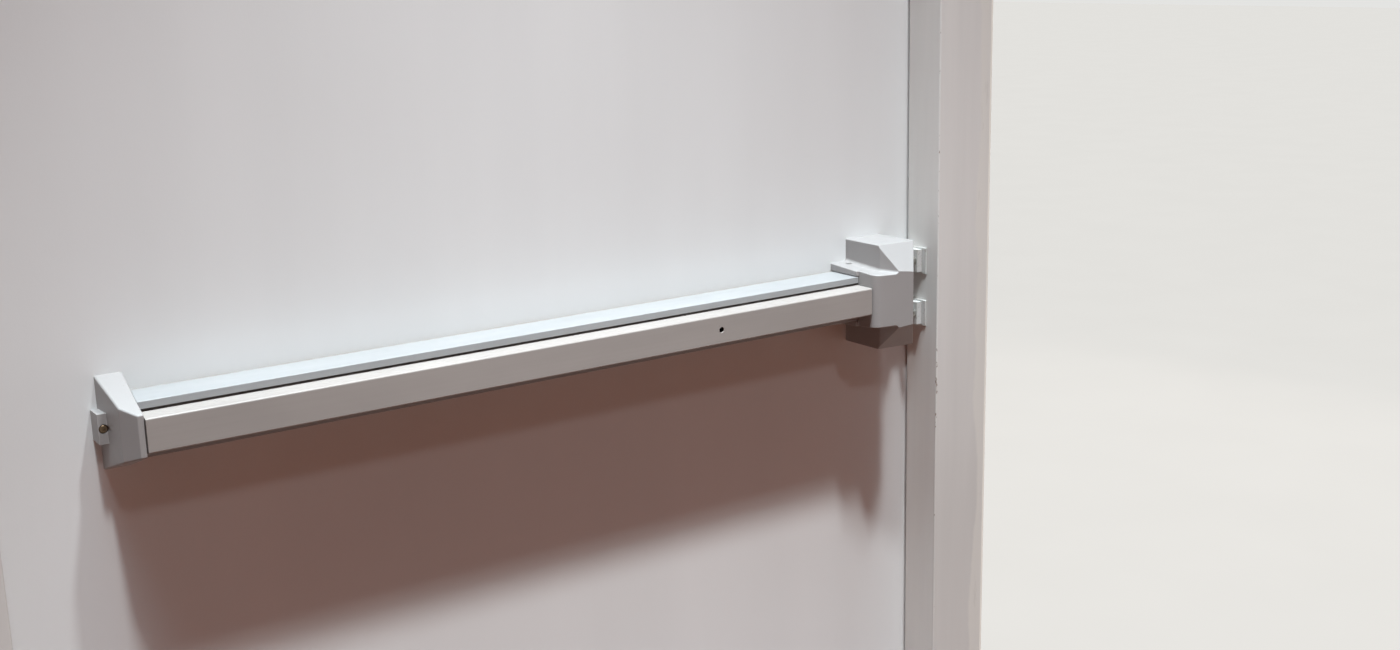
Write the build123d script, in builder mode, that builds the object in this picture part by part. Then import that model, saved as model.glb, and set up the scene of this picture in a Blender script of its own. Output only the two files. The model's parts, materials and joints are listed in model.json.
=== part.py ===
"""Painted steel exit door in its pressed steel frame, with a push bar exit device on the room side.

The doorway is centred on X. The room side, with the push bar, faces -Y, and the hinges stand
on the +Y side. Z is up from the finished floor. Depth means the distance out into the room
from the leaf's room face. All sizes are in millimetres.
"""

import os
from math import asin, atan2, cos, degrees, pi, sin

from build123d import *

os.makedirs("parts", exist_ok=True)

# Doorway and frame
opening_width = 1067.0  # between the rabbets
opening_height = 2134.0  # floor to head rabbet
stop_height = 16.0
soffit_depth = 52.0
rabbet_depth = 49.0
room_face_width = 83.0  # from the stop line to the frame's outer edge
return_lip = 12.0
frame_sheet = 1.5
frame_bend = 1.8

# Leaf
leaf_thickness = 44.5
edge_gap = 3.0
floor_gap = 19.0
skin_sheet = 1.2
skin_bend = 1.6
channel_sheet = 1.5
channel_lip = 25.0
silencer_gap = 2.4
silencer_radius = 4.8
silencer_stem_radius = 2.5
silencer_air = 0.3
silencer_end = 300.0

# Hinges
hinge_height = 114.0
hinge_plate = 3.4
hinge_flap = 51.0  # pin centre to the flap's far edge
barrel_radius = 7.2
hinge_pin_radius = 3.2
turning_fit = 0.05
pin_stand_off = 9.6  # pin centre beyond the leaf's outer face
knuckle_count = 5
knuckle_gap = 0.3
flap_notch = 0.8
pin_head_radius = 5.4
pin_head_height = 3.0
top_hinge_drop = 127.0
bottom_hinge_rise = 254.0
hinge_backing = 4.5
hinge_backing_margin = 55.0
hinge_screw_radius = 2.8
hinge_screw_head = 4.8
hinge_screw_length = 9.5
hinge_screw_end = 13.0
hinge_screw_middle = 16.0
hinge_screw_shift = 8.0

# Anchors that hold the frame
anchor_sheet = 2.0
anchor_leg = 50.0
anchor_width = 54.0
anchor_hole_radius = 5.0
anchor_hole_spacing = 52.0
strap_sheet = 1.5
strap_height = 38.0
strap_hole_radius = 4.0
strap_heights = (420.0, 1060.0, 1720.0)

# Exit device as a whole
device_height = 1016.0  # centre line above the floor
head_side_gap = 42.5  # stop line to the side of the latch head
end_margin = 94.0  # stop line on the hinge side to the end cap's lug
bar_gap = 0.6

# Rail and push bar
rail_depth = 45.1
rail_height = 50.0
rail_wall = 2.2
rail_lip = 6.8
rail_edge = 0.8
bar_front = 68.3
bar_height = 31.0
bar_wall = 2.2
bar_edge = 1.6
bar_flange_reach = 6.0
bar_flange_air = 0.5
bar_travel = 15.0
key_hole_radius = 3.1
key_hole_inset = 207.3
plug_thickness = 2.0

# Latch head cover, as plan points from its latch side
block_width = 50.9
block_depth = 58.6
block_half = 60.1
nose_front = 82.4
nose_left_front = 79.0
nose_left_in = 11.0
nose_right_in = 21.5
nose_corner = 8.0
ridge_half = 32.0
shoulder_width = 19.1
shoulder_corner = 11.0
shelf_half = 34.5
shelf_front_half = 30.0
shelf_corner = 3.8
eave_reach = 3.5
eave_low = 25.7
cover_wall = 2.5
cover_edge = 1.0
cover_screw_inset = 13.4
cover_screw_depth = 12.2

# Latch chassis, guide and bolt
chassis_plate = 3.0
chassis_margin = 1.0
chassis_half = 56.0
tongue_length = 38.0
tongue_half = 12.0
guide_length = 30.0
guide_wall = 3.5
bolt_half = 11.0
bolt_back = 21.0
bolt_thickness = 16.0
bolt_reach = 18.5  # beyond the side of the head
bolt_length = 66.0
bolt_bevel = 9.0
bolt_fit = 0.3
spring_post = 1.8

# Strike
strike_drop = 4.0
strike_half = 44.5
strike_gap_half = 18.0
strike_reach = 33.0
strike_back = 6.0
strike_front = 29.4
strike_ear = 7.4
strike_waist = 13.0
strike_lip_front = 18.0
strike_lip_width = 10.0
strike_base = 3.0
strike_corner = 2.0
shim_plate = 2.0
shim_margin = 2.0
shim_front = 35.6
strike_backing = 3.0

# End cap
cap_width = 20.7
cap_front_width = 5.5
cap_break_in = 4.2
cap_break_depth = 51.5
cap_front = 66.8
cap_flare = 3.4  # how much wider the cap is where it meets the leaf
cap_air = 0.3
cap_half = 42.3
cap_front_half = 18.9
cap_wall = 2.5
cap_edge = 1.8
lug_width = 6.0
lug_half = 13.4
lug_depth = 21.0
lug_screw_in = 4.5
lug_screw_key = 3.4  # across the flats of its hex socket

# Bell cranks and control rod
crank_inset = 110.0
crank_arm = 22.0
crank_pivot_depth = 36.0
crank_thickness = 4.0
crank_level = 3.6
crank_pin_radius = 3.0
crank_stud_radius = 2.5
slot_air = 0.3
layer_gap = 0.6
bracket_sheet = 3.0
rod_thickness = 3.0
rod_width = 12.0
ear_sheet = 2.4
crank_base_sheet = 2.0
crank_base_half = 12.0
spring_offset = 24.0

# Dogging screw
dog_journal_radius = 3.4
dog_neck_radius = 4.0
dog_base_height = 28.0
dog_base_half = 5.6
dog_arm = 10.0
dog_arm_width = 7.0
dog_head_depth = 40.0
dog_head_thickness = 3.5
dog_plate_depth = 50.0
dog_plate_sheet = 2.0
dog_plate_half = 16.0
dog_slot_air = 1.0
hex_socket = 5.0
hex_depth = 6.0

# Springs
latch_spring_radius = 3.4
latch_wire = 0.5
latch_spring_pitch = 4.0
return_spring_radius = 4.6
return_wire = 0.7
return_spring_pitch = 7.0

# Small screws
mount_screw_radius = 2.4
mount_head_radius = 4.6
mount_head_height = 2.6
mount_screw_length = 8.5
cover_screw_radius = 1.7
cover_head_radius = 3.3
cover_screw_length = 6.5
hole_air = 0.1
device_backing = 3.0
device_backing_margin = 12.0

# Lines that the pieces share
half_opening = opening_width / 2
stop_x = half_opening - stop_height
outer_x = stop_x + room_face_width
pin_radius_out = leaf_thickness + pin_stand_off + barrel_radius
face_y = (nose_front - pin_radius_out) / 2  # puts the whole object's middle on Y = 0
stop_depth = silencer_gap
room_depth = stop_depth + soffit_depth
outside_depth = stop_depth - rabbet_depth
leaf_half = half_opening - edge_gap
leaf_top = opening_height - edge_gap
leaf_height = leaf_top - floor_gap
frame_top = opening_height + outer_x - half_opening
pin_x = -half_opening + edge_gap / 2
pin_depth = -leaf_thickness - pin_stand_off
flap_end_depth = pin_depth + hinge_flap
head_right = stop_x - head_side_gap
block_left = head_right - block_width
head_left = block_left - shoulder_width
bar_right = head_left - bar_gap
lug_left = -stop_x + end_margin
cap_left = lug_left + lug_width
cap_right = cap_left + cap_width
bar_left = cap_right + bar_gap
bar_length = bar_right - bar_left
key_hole_x = bar_right - key_hole_inset
crank_half_turn = asin(bar_travel / 2 / crank_arm)
crank_rise = crank_arm * sin(crank_half_turn)
crank_run = crank_arm * cos(crank_half_turn)
crank_positions = {"left": bar_left + crank_inset, "right": bar_right - crank_inset}
rod_level = crank_level + crank_thickness / 2 + layer_gap
bracket_level = crank_level - crank_thickness / 2 - layer_gap
rod_depth = crank_pivot_depth - (crank_run + crank_arm) / 2
rod_right = head_right + bolt_reach - bolt_length + 9.0
bolt_left = head_right + bolt_reach - bolt_length
bolt_centre = bolt_back + bolt_thickness / 2
hinge_heights = {
    "top": opening_height - top_hinge_drop - hinge_height / 2,
    "bottom": bottom_hinge_rise + hinge_height / 2,
}
hinge_heights["middle"] = (hinge_heights["top"] + hinge_heights["bottom"]) / 2
silencer_heights = [silencer_end, opening_height / 2, opening_height - silencer_end]
hinge_screw_row = hinge_height / 2 - hinge_screw_end
hinge_screw_rows = (-hinge_screw_row, -hinge_screw_middle, hinge_screw_middle, hinge_screw_row)
front_slope = (nose_front - nose_left_front) / (block_width - nose_left_in - nose_right_in)
shoulder_front = nose_left_front - front_slope * (shoulder_width + nose_left_in)
LOW = (Align.CENTER, Align.CENTER, Align.MAX)
HIGH = (Align.CENTER, Align.CENTER, Align.MIN)


def plan(z):
    """A level plane at height z: its x runs along the doorway and its y is the depth."""
    return Plane(origin=(0, face_y, z), x_dir=(1, 0, 0), z_dir=(0, 0, -1))


def facing(x, depth, z):
    """An upright plane along the door at a depth, looking into the room, with its y upwards."""
    return Plane(origin=(x, face_y - depth, z), x_dir=(1, 0, 0), z_dir=(0, -1, 0))


def across(x, z=device_height):
    """An upright plane across the door: its x is the depth, its y runs up, its normal is -X."""
    return Plane(origin=(x, face_y, z), x_dir=(0, -1, 0), z_dir=(-1, 0, 0))


def sideways(x, depth, z, side):
    """A plane across the door at a point, with its normal along X towards side."""
    return Plane(origin=(x, face_y - depth, z), x_dir=(0, side, 0), z_dir=(side, 0, 0))


def upward(x, depth, z, side=1):
    """A level plane at a point, with its normal up, or down with side -1."""
    return Plane(origin=(x, face_y - depth, z), x_dir=(1, 0, 0), z_dir=(0, 0, side))


def block(x, depth, z, mode=Mode.ADD):
    """A square block between pairs of x, depth and z, inside the part being built."""
    middle = upward(sum(x) / 2, sum(depth) / 2, sum(z) / 2)
    with Locations(middle):
        Box(abs(x[1] - x[0]), abs(depth[1] - depth[0]), abs(z[1] - z[0]), mode=mode)


def folded(points, sheet):
    """The closed outline of a sheet folded square along points, with its thickness on the left."""
    sides = []
    for (x0, y0), (x1, y1) in zip(points, points[1:]):
        length = abs(x1 - x0) + abs(y1 - y0)
        sides.append(((y0 - y1) / length, (x1 - x0) / length))
    turns = [sides[0]] + [(a[0] + b[0], a[1] + b[1]) for a, b in zip(sides, sides[1:])] + [sides[-1]]
    inner = [(x + sheet * u, y + sheet * v) for (x, y), (u, v) in zip(points, turns)]
    return list(points) + inner[::-1]


def countersunk_screw(place, head_radius, shank_radius, length):
    """A countersunk screw with a cross recess: its head lies on the plane, facing its normal."""
    sink = head_radius - shank_radius
    with BuildPart(place) as screw:
        Cylinder(shank_radius, length, align=LOW)
        Cone(shank_radius, head_radius, sink, align=LOW)
        with BuildSketch(place):
            Rectangle(head_radius * 1.1, head_radius * 0.28)
            Rectangle(head_radius * 0.28, head_radius * 1.1)
        extrude(amount=-sink * 0.7, mode=Mode.SUBTRACT)
    return screw.part


def pan_screw(place, head_radius, head_height, shank_radius, length, key=0):
    """A pan head screw with a cross recess, or with key a hex socket that wide; its head stands out."""
    with BuildPart(place) as screw:
        Cylinder(shank_radius, length, align=LOW)
        Cylinder(head_radius, head_height, align=HIGH)
        chamfer(screw.faces().sort_by(Axis(place.origin, place.z_dir))[-1].edges(), head_height * 0.4)
        with BuildSketch(place.offset(head_height)):
            if key:
                RegularPolygon(key / 2, 6, major_radius=False)
            else:
                Rectangle(head_radius * 1.1, head_radius * 0.28)
                Rectangle(head_radius * 0.28, head_radius * 1.1)
        extrude(amount=-head_height * 0.6, mode=Mode.SUBTRACT)
    return screw.part


def coil(place, radius, wire, pitch, length):
    """A square wire spring along the plane's normal, from the plane, with length over its ends."""
    rise = length - 2 * wire
    turns = max(1, round(rise / pitch))
    start = place.offset(wire).origin
    with BuildPart() as spring:
        with BuildLine():
            helix = Helix(rise / turns, rise, radius, center=start, direction=place.z_dir)
        with BuildSketch(Plane(origin=helix @ 0, x_dir=place.z_dir, z_dir=helix % 0)):
            Rectangle(2 * wire, 2 * wire)
        sweep(is_frenet=True)
    return spring.part


# Frame: one folded section, used upright for the jambs and level for the head
frame_path = [
    (outer_x - half_opening, outside_depth + return_lip),
    (outer_x - half_opening, outside_depth),
    (0, outside_depth),
    (0, stop_depth),
    (-stop_height, stop_depth),
    (-stop_height, room_depth),
    (outer_x - half_opening, room_depth),
    (outer_x - half_opening, room_depth - return_lip),
]
frame_outline = folded(frame_path, -frame_sheet)
seen_bends = frame_path[1:3] + frame_path[4:7]


def mitre(side):
    """The plane of the mitre at one top corner, with its normal up into the head."""
    return Plane(origin=(side * half_opening, 0, opening_height), z_dir=(-side, 0, 1))


def near(pairs, u, v):
    """Whether a point lies on one of the pairs."""
    return any(abs(u - a) + abs(v - b) < 0.02 for a, b in pairs)


def jamb_blank(side):
    """A plain jamb, mitred at its top, before its cut-outs."""
    to_world = [(side * (half_opening + u), d) for u, d in frame_outline]
    with BuildPart() as blank:
        with BuildSketch(plan(0)):
            with BuildLine():
                Polyline(*to_world, close=True)
            make_face()
        extrude(amount=-frame_top)
        bends = [(side * (half_opening + u), face_y - d) for u, d in seen_bends]
        uprights = blank.edges().filter_by(Axis.Z)
        fillet([e for e in uprights if near(bends, e.center().X, e.center().Y)], frame_bend)
        split(bisect_by=mitre(side), keep=Keep.BOTTOM)
    return blank.part


strike_screw_rise = (strike_half + strike_gap_half) / 2
strike_screw_heights = [device_height - strike_drop + n * strike_screw_rise for n in (-1, 1)]
strike_screw_depth = (strike_lip_front + strike_front) / 2
strike_blank = jamb_blank(1)
hinge_blank = jamb_blank(-1)

with BuildPart() as strike_jamb:
    add(strike_blank)
    for height in silencer_heights:
        with Locations(facing(half_opening - stop_height / 2, stop_depth, height)):
            Cylinder(silencer_stem_radius + hole_air, 3 * frame_sheet, mode=Mode.SUBTRACT)
    for height in strike_screw_heights:
        with Locations(sideways(stop_x, strike_screw_depth, height, 1)):
            Cylinder(mount_screw_radius + hole_air, 3 * frame_sheet, mode=Mode.SUBTRACT)
strike_jamb.part.label = "strike_jamb"
export_step(strike_jamb.part, "parts/strike_jamb.step")

with BuildPart() as hinge_jamb:
    add(hinge_blank)
    for height in hinge_heights.values():
        sink = (-half_opening - hinge_plate, -half_opening)
        span = (height - hinge_height / 2, height + hinge_height / 2)
        block(sink, (outside_depth - 1, flap_end_depth), span, Mode.SUBTRACT)
hinge_jamb.part.label = "hinge_jamb"
export_step(hinge_jamb.part, "parts/hinge_jamb.step")

with BuildPart() as frame_head:
    with BuildSketch(across(outer_x, 0)):
        with BuildLine():
            Polyline(*[(d, opening_height + u) for u, d in frame_outline], close=True)
        make_face()
    extrude(amount=2 * outer_x)
    head_bends = [(face_y - d, opening_height + u) for u, d in seen_bends]
    long_edges = frame_head.edges().filter_by(Axis.X)
    fillet([e for e in long_edges if near(head_bends, e.center().Y, e.center().Z)], frame_bend)
    split(bisect_by=mitre(1), keep=Keep.TOP)
    split(bisect_by=mitre(-1), keep=Keep.TOP)
frame_head.part.label = "frame_head"
export_step(frame_head.part, "parts/frame_head.step")

# Anchors: an angle on the floor in each jamb, and straps for the wall behind the return lips
inner_x = half_opening + frame_sheet
inner_depths = (outside_depth + frame_sheet, room_depth - frame_sheet)
anchor_middle_depth = sum(inner_depths) / 2

for side, name in ((-1, "floor_anchor_hinge"), (1, "floor_anchor_strike")):
    with BuildPart() as floor_anchor:
        block((side * inner_x, side * (inner_x + anchor_width)), inner_depths, (0, anchor_sheet))
        leg_depths = (inner_depths[0], stop_depth)
        block((side * inner_x, side * (inner_x + anchor_sheet)), leg_depths, (0, anchor_leg))
        for n in (-1, 1):
            hole_depth = anchor_middle_depth + n * anchor_hole_spacing / 2
            with Locations(upward(side * (inner_x + anchor_width / 2), hole_depth, 0)):
                Cylinder(anchor_hole_radius, 3 * anchor_sheet, mode=Mode.SUBTRACT)
    floor_anchor.part.label = name
    export_step(floor_anchor.part, f"parts/{name}.step")

with BuildPart() as wall_straps:
    for side in (-1, 1):
        inside_lip = side * (outer_x - frame_sheet)
        for height in strap_heights:
            span = (height - strap_height / 2, height + strap_height / 2)
            block((inside_lip - side * strap_sheet, inside_lip), inner_depths, span)
            with Locations(sideways(inside_lip, anchor_middle_depth, height, 1)):
                Cylinder(strap_hole_radius, 3 * strap_sheet, mode=Mode.SUBTRACT)
wall_straps.part.label = "wall_straps"
export_step(wall_straps.part, "parts/wall_straps.step")

# Silencers: rubber buttons in the stop that the leaf closes against
button_height = silencer_gap - silencer_air
with BuildPart() as silencers:
    for height in silencer_heights:
        with Locations(facing(half_opening - stop_height / 2, stop_depth, height)):
            Cylinder(silencer_stem_radius, 2 * frame_sheet, align=HIGH)
            Cylinder(silencer_radius, button_height, align=LOW)
    rims = silencers.edges().filter_by(GeomType.CIRCLE).group_by(Axis.Y)[-1]
    chamfer(rims, button_height * 0.4)
silencers.part.label = "silencers"
export_step(silencers.part, "parts/silencers.step")

# Hinges: three butt hinges with five knuckles each, let into the leaf's edge and the jamb
knuckle = hinge_height / knuckle_count
screw_depths = [(flap_end_depth - leaf_thickness) / 2 + n * hinge_screw_shift for n in (1, -1, 1, -1)]


def hinge_flap_part(height, side, knuckles):
    """One flap with its knuckles: side -1 is let into the jamb and side 1 into the leaf's edge."""
    face_x = pin_x + side * edge_gap / 2
    thick = (face_x, face_x + side * hinge_plate)
    low = height - hinge_height / 2
    with BuildPart() as flap:
        block(thick, (pin_depth + barrel_radius + flap_notch, flap_end_depth), (low, low + hinge_height))
        for n in knuckles:
            span = (low + n * knuckle + knuckle_gap / 2, low + (n + 1) * knuckle - knuckle_gap / 2)
            block(thick, (pin_depth, pin_depth + barrel_radius + 2 * flap_notch), span)
            with Locations(upward(pin_x, pin_depth, span[0])):
                Cylinder(barrel_radius, span[1] - span[0], align=HIGH)
        with Locations(upward(pin_x, pin_depth, height)):
            Cylinder(hinge_pin_radius + turning_fit, 2 * hinge_height, mode=Mode.SUBTRACT)
        for rise, depth in zip(hinge_screw_rows, screw_depths):
            with Locations(sideways(face_x, depth, height + rise, -side)):
                bore_radii = (hinge_screw_radius + hole_air, hinge_screw_head + hole_air)
                CounterSinkHole(*bore_radii, 2 * hinge_plate, 90)
    return flap.part


def hinge_backing_part(height, side, cover_sheet):
    """The thick plate behind one flap, with a pocket for the part of the flap that passes the sheet."""
    face_x = pin_x + side * edge_gap / 2
    rear = (face_x + side * cover_sheet, face_x + side * (hinge_plate + hinge_backing))
    half = hinge_height / 2 + hinge_backing_margin
    pocket = (height - hinge_height / 2, height + hinge_height / 2)
    if side < 0:
        depths = (outside_depth + frame_sheet, stop_depth + frame_sheet)
    else:
        depths = (-leaf_thickness + skin_sheet, -skin_sheet)
    with BuildPart() as plate:
        block(rear, depths, (height - half, height + half))
        flap_x = (face_x, face_x + side * hinge_plate)
        block(flap_x, (depths[0] - 1, flap_end_depth), pocket, Mode.SUBTRACT)
        for rise, depth in zip(hinge_screw_rows, screw_depths):
            with Locations(sideways(face_x, depth, height + rise, -side)):
                bore_length = 4 * hinge_plate + hinge_backing
                Cylinder(hinge_screw_radius + turning_fit, bore_length, mode=Mode.SUBTRACT)
    return plate.part


def hinge_screw_set(side):
    """All the screws through the flaps on one side of the hinges."""
    face_x = pin_x + side * edge_gap / 2
    places = [
        sideways(face_x, depth, height + rise, -side)
        for height in hinge_heights.values()
        for rise, depth in zip(hinge_screw_rows, screw_depths)
    ]
    return [
        countersunk_screw(place, hinge_screw_head, hinge_screw_radius, hinge_screw_length)
        for place in places
    ]


for place, height in hinge_heights.items():
    jamb_flap = hinge_flap_part(height, -1, range(0, knuckle_count, 2))
    jamb_flap.label = f"hinge_{place}_jamb_flap"
    export_step(jamb_flap, f"parts/{jamb_flap.label}.step")
    leaf_flap = hinge_flap_part(height, 1, range(1, knuckle_count, 2))
    leaf_flap.label = f"hinge_{place}_leaf_flap"
    export_step(leaf_flap, f"parts/{leaf_flap.label}.step")

with BuildPart() as hinge_pins:
    for height in hinge_heights.values():
        with Locations(upward(pin_x, pin_depth, height - hinge_height / 2 + knuckle_gap)):
            Cylinder(hinge_pin_radius, hinge_height - knuckle_gap, align=HIGH)
        with Locations(upward(pin_x, pin_depth, height + hinge_height / 2)):
            Cylinder(pin_head_radius, pin_head_height, align=HIGH)
hinge_pins.part.label = "hinge_pins"
export_step(hinge_pins.part, "parts/hinge_pins.step")

for side, sheet, name in ((-1, frame_sheet, "jamb_hinge_plates"), (1, skin_sheet, "leaf_hinge_plates")):
    plates = [hinge_backing_part(height, side, sheet) for height in hinge_heights.values()]
    with BuildPart() as backing_plates:
        add(plates)
    backing_plates.part.label = name
    export_step(backing_plates.part, f"parts/{name}.step")

for side, name in ((-1, "jamb_hinge_screws"), (1, "leaf_hinge_screws")):
    screws = hinge_screw_set(side)
    with BuildPart() as flap_screws:
        add(screws)
    flap_screws.part.label = name
    export_step(flap_screws.part, f"parts/{name}.step")

# Fixing points of the exit device on the leaf: x, height, and depth of the surface under the head
head_screws = [
    (x, device_height + n * (chassis_half - 9), chassis_plate)
    for x in (block_left + 10, head_right - 10)
    for n in (-1, 1)
]
tongue_face = rail_wall + chassis_plate
head_screws.append((head_left - tongue_length * 0.55, device_height, tongue_face))
bracket_x = (cap_left + cap_right) / 2 + 1
end_screws = [(bracket_x, device_height + n * cap_half * 0.55, chassis_plate) for n in (-1, 1)]
end_screws.append((cap_right + tongue_length * 0.55, device_height, tongue_face))
lug_screw = (lug_left + lug_screw_in, device_height, lug_depth - mount_head_height)
leaf_fixings = head_screws + end_screws + [lug_screw]

# Leaf: two skins folded round the edges, channels at top and bottom, and a core between
mid_depth = -leaf_thickness / 2


def skin_part(face_depth):
    """One skin: a flat sheet whose upright edges are folded back to the middle of the leaf."""
    turn = 1 if face_depth == 0 else -1
    path = [
        (leaf_half, mid_depth),
        (leaf_half, face_depth),
        (-leaf_half, face_depth),
        (-leaf_half, mid_depth),
    ]
    with BuildPart() as skin:
        with BuildSketch(plan(floor_gap)):
            with BuildLine():
                Polyline(*folded(path, turn * skin_sheet), close=True)
            make_face()
        extrude(amount=-leaf_height)
        bends = [(-leaf_half, face_y - face_depth), (leaf_half, face_y - face_depth)]
        uprights = skin.edges().filter_by(Axis.Z)
        fillet([e for e in uprights if near(bends, e.center().X, e.center().Y)], skin_bend)
        for height in hinge_heights.values():
            span = (height - hinge_height / 2, height + hinge_height / 2)
            flap_x = (-leaf_half, -leaf_half + hinge_plate)
            block(flap_x, (-leaf_thickness - 1, flap_end_depth), span, Mode.SUBTRACT)
        if face_depth == 0:
            for x, height, _ in leaf_fixings:
                with Locations(facing(x, 0, height)):
                    Cylinder(mount_screw_radius + hole_air, 3 * skin_sheet, mode=Mode.SUBTRACT)
    return skin.part


room_skin = skin_part(0)
room_skin.label = "room_skin"
export_step(room_skin, "parts/room_skin.step")
outer_skin = skin_part(-leaf_thickness)
outer_skin.label = "outer_skin"
export_step(outer_skin, "parts/outer_skin.step")

core_half = leaf_half - skin_sheet
core_depths = (-leaf_thickness + skin_sheet, -skin_sheet)
for name, base, up in (("top_channel", leaf_top, -1), ("bottom_channel", floor_gap, 1)):
    path = [
        (core_depths[0], base + up * channel_lip),
        (core_depths[0], base),
        (core_depths[1], base),
        (core_depths[1], base + up * channel_lip),
    ]
    with BuildPart() as channel:
        with BuildSketch(across(core_half, 0)):
            with BuildLine():
                Polyline(*folded(path, up * channel_sheet), close=True)
            make_face()
        extrude(amount=2 * core_half)
    channel.part.label = name
    export_step(channel.part, f"parts/{name}.step")

device_backings = (
    (head_left - tongue_length, head_right, chassis_half),
    (lug_left - device_backing_margin, cap_right + tongue_length, cap_half),
)
backing_depths = (-skin_sheet - device_backing, -skin_sheet)

with BuildPart() as device_plates:
    for left, right, half in device_backings:
        block((left, right), backing_depths, (device_height - half, device_height + half))
    for x, height, _ in leaf_fixings:
        with Locations(facing(x, -skin_sheet, height)):
            Cylinder(mount_screw_radius + turning_fit, 4 * device_backing, mode=Mode.SUBTRACT)
device_plates.part.label = "device_plates"
export_step(device_plates.part, "parts/device_plates.step")

with BuildPart() as leaf_core:
    block((-core_half, core_half), core_depths, (floor_gap + channel_lip, leaf_top - channel_lip))
    plate_x = (-core_half, -leaf_half + hinge_plate + hinge_backing)
    plate_half = hinge_height / 2 + hinge_backing_margin
    for height in hinge_heights.values():
        block(plate_x, core_depths, (height - plate_half, height + plate_half), Mode.SUBTRACT)
        for rise, depth in zip(hinge_screw_rows, screw_depths):
            with Locations(sideways(-leaf_half, depth, height + rise, 1)):
                Cylinder(hinge_screw_radius + hole_air, 2 * hinge_screw_length + 2, mode=Mode.SUBTRACT)
    for left, right, half in device_backings:
        span = (device_height - half, device_height + half)
        block((left, right), backing_depths, span, Mode.SUBTRACT)
    for x, height, _ in leaf_fixings:
        with Locations(facing(x, -skin_sheet, height)):
            Cylinder(mount_screw_radius + hole_air, 4 * mount_screw_length, mode=Mode.SUBTRACT)
leaf_core.part.label = "leaf_core"
export_step(leaf_core.part, "parts/leaf_core.step")

# Rail: an open channel with lips that hold the push bar captive
half_rail = rail_height / 2
with BuildPart() as rail:
    with BuildSketch(across(bar_right)):
        with Locations((rail_depth / 2, 0)):
            Rectangle(rail_depth, rail_height)
        with Locations((rail_depth / 2, 0)):
            Rectangle(rail_depth - 2 * rail_wall, rail_height - 2 * rail_wall, mode=Mode.SUBTRACT)
        with Locations((rail_depth - rail_wall / 2, 0)):
            Rectangle(2 * rail_wall, rail_height - 2 * rail_lip, mode=Mode.SUBTRACT)
    extrude(amount=bar_right - cap_right)
    corners = [(face_y - rail_depth, device_height + n * half_rail) for n in (-1, 1)]
    long_edges = rail.edges().filter_by(Axis.X)
    fillet([e for e in long_edges if near(corners, e.center().Y, e.center().Z)], rail_edge)
    for x, height, _ in (head_screws[-1], end_screws[-1]):
        with Locations(facing(x, 0, height)):
            Cylinder(mount_screw_radius + hole_air, 4 * rail_wall, mode=Mode.SUBTRACT)
rail.part.label = "rail"
export_step(rail.part, "parts/rail.step")

# Push bar: a hollow bar whose flanges stand behind the rail's lips
half_bar = bar_height / 2
flange_front = rail_depth - rail_wall - bar_flange_air
flange_back = flange_front - bar_wall
with BuildPart() as push_bar:
    with BuildSketch(across(bar_right)):
        with Locations(((flange_back + bar_front) / 2, 0)):
            Rectangle(bar_front - flange_back, bar_height)
        with Locations(((flange_back + flange_front) / 2, 0)):
            Rectangle(bar_wall, bar_height + 2 * bar_flange_reach)
        with Locations(((flange_back + bar_front) / 2 - bar_wall, 0)):
            Rectangle(bar_front - flange_back, bar_height - 2 * bar_wall, mode=Mode.SUBTRACT)
    extrude(amount=bar_length)
    corners = [(face_y - bar_front, device_height + n * half_bar) for n in (-1, 1)]
    long_edges = push_bar.edges().filter_by(Axis.X)
    fillet([e for e in long_edges if near(corners, e.center().Y, e.center().Z)], bar_edge)
    with Locations(facing(key_hole_x, bar_front, device_height)):
        Cylinder(key_hole_radius, 4 * bar_wall, mode=Mode.SUBTRACT)
push_bar.part.label = "push_bar"
export_step(push_bar.part, "parts/push_bar.step")

bar_inside = bar_front - bar_wall
half_inside = half_bar - bar_wall
with BuildPart() as bar_end_plugs:
    for end, inward in ((bar_left, 1), (bar_right, -1)):
        span = (device_height - half_inside, device_height + half_inside)
        block((end, end + inward * plug_thickness), (flange_back, bar_inside), span)
bar_end_plugs.part.label = "bar_end_plugs"
export_step(bar_end_plugs.part, "parts/bar_end_plugs.step")

# Bell cranks: pressing the bar turns them, and they draw the control rod away from the latch
stud_depth = crank_pivot_depth + crank_rise
slot_half = (crank_arm - crank_run) / 2
slot_radius = crank_stud_radius + slot_air
crank_middle = device_height + crank_level


def bracket_span(pivot_x):
    """The x range of the bar bracket beside one crank."""
    slot_x = pivot_x + (crank_run + crank_arm) / 2
    return slot_x - 9, slot_x + 9


with BuildPart() as bar_brackets:
    top = device_height + bracket_level
    for pivot_x in crank_positions.values():
        slot_x = pivot_x + (crank_run + crank_arm) / 2
        block(bracket_span(pivot_x), (stud_depth - 5.0, bar_inside), (top - bracket_sheet, top))
        front = (bar_inside - bracket_sheet, bar_inside)
        block(bracket_span(pivot_x), front, (device_height - half_inside, top))
        with BuildSketch(plan(top)):
            with Locations((slot_x, stud_depth)):
                SlotCenterToCenter(2 * slot_half, 2 * slot_radius)
        extrude(amount=bracket_sheet, both=True, mode=Mode.SUBTRACT)
bar_brackets.part.label = "bar_brackets"
export_step(bar_brackets.part, "parts/bar_brackets.step")

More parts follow.
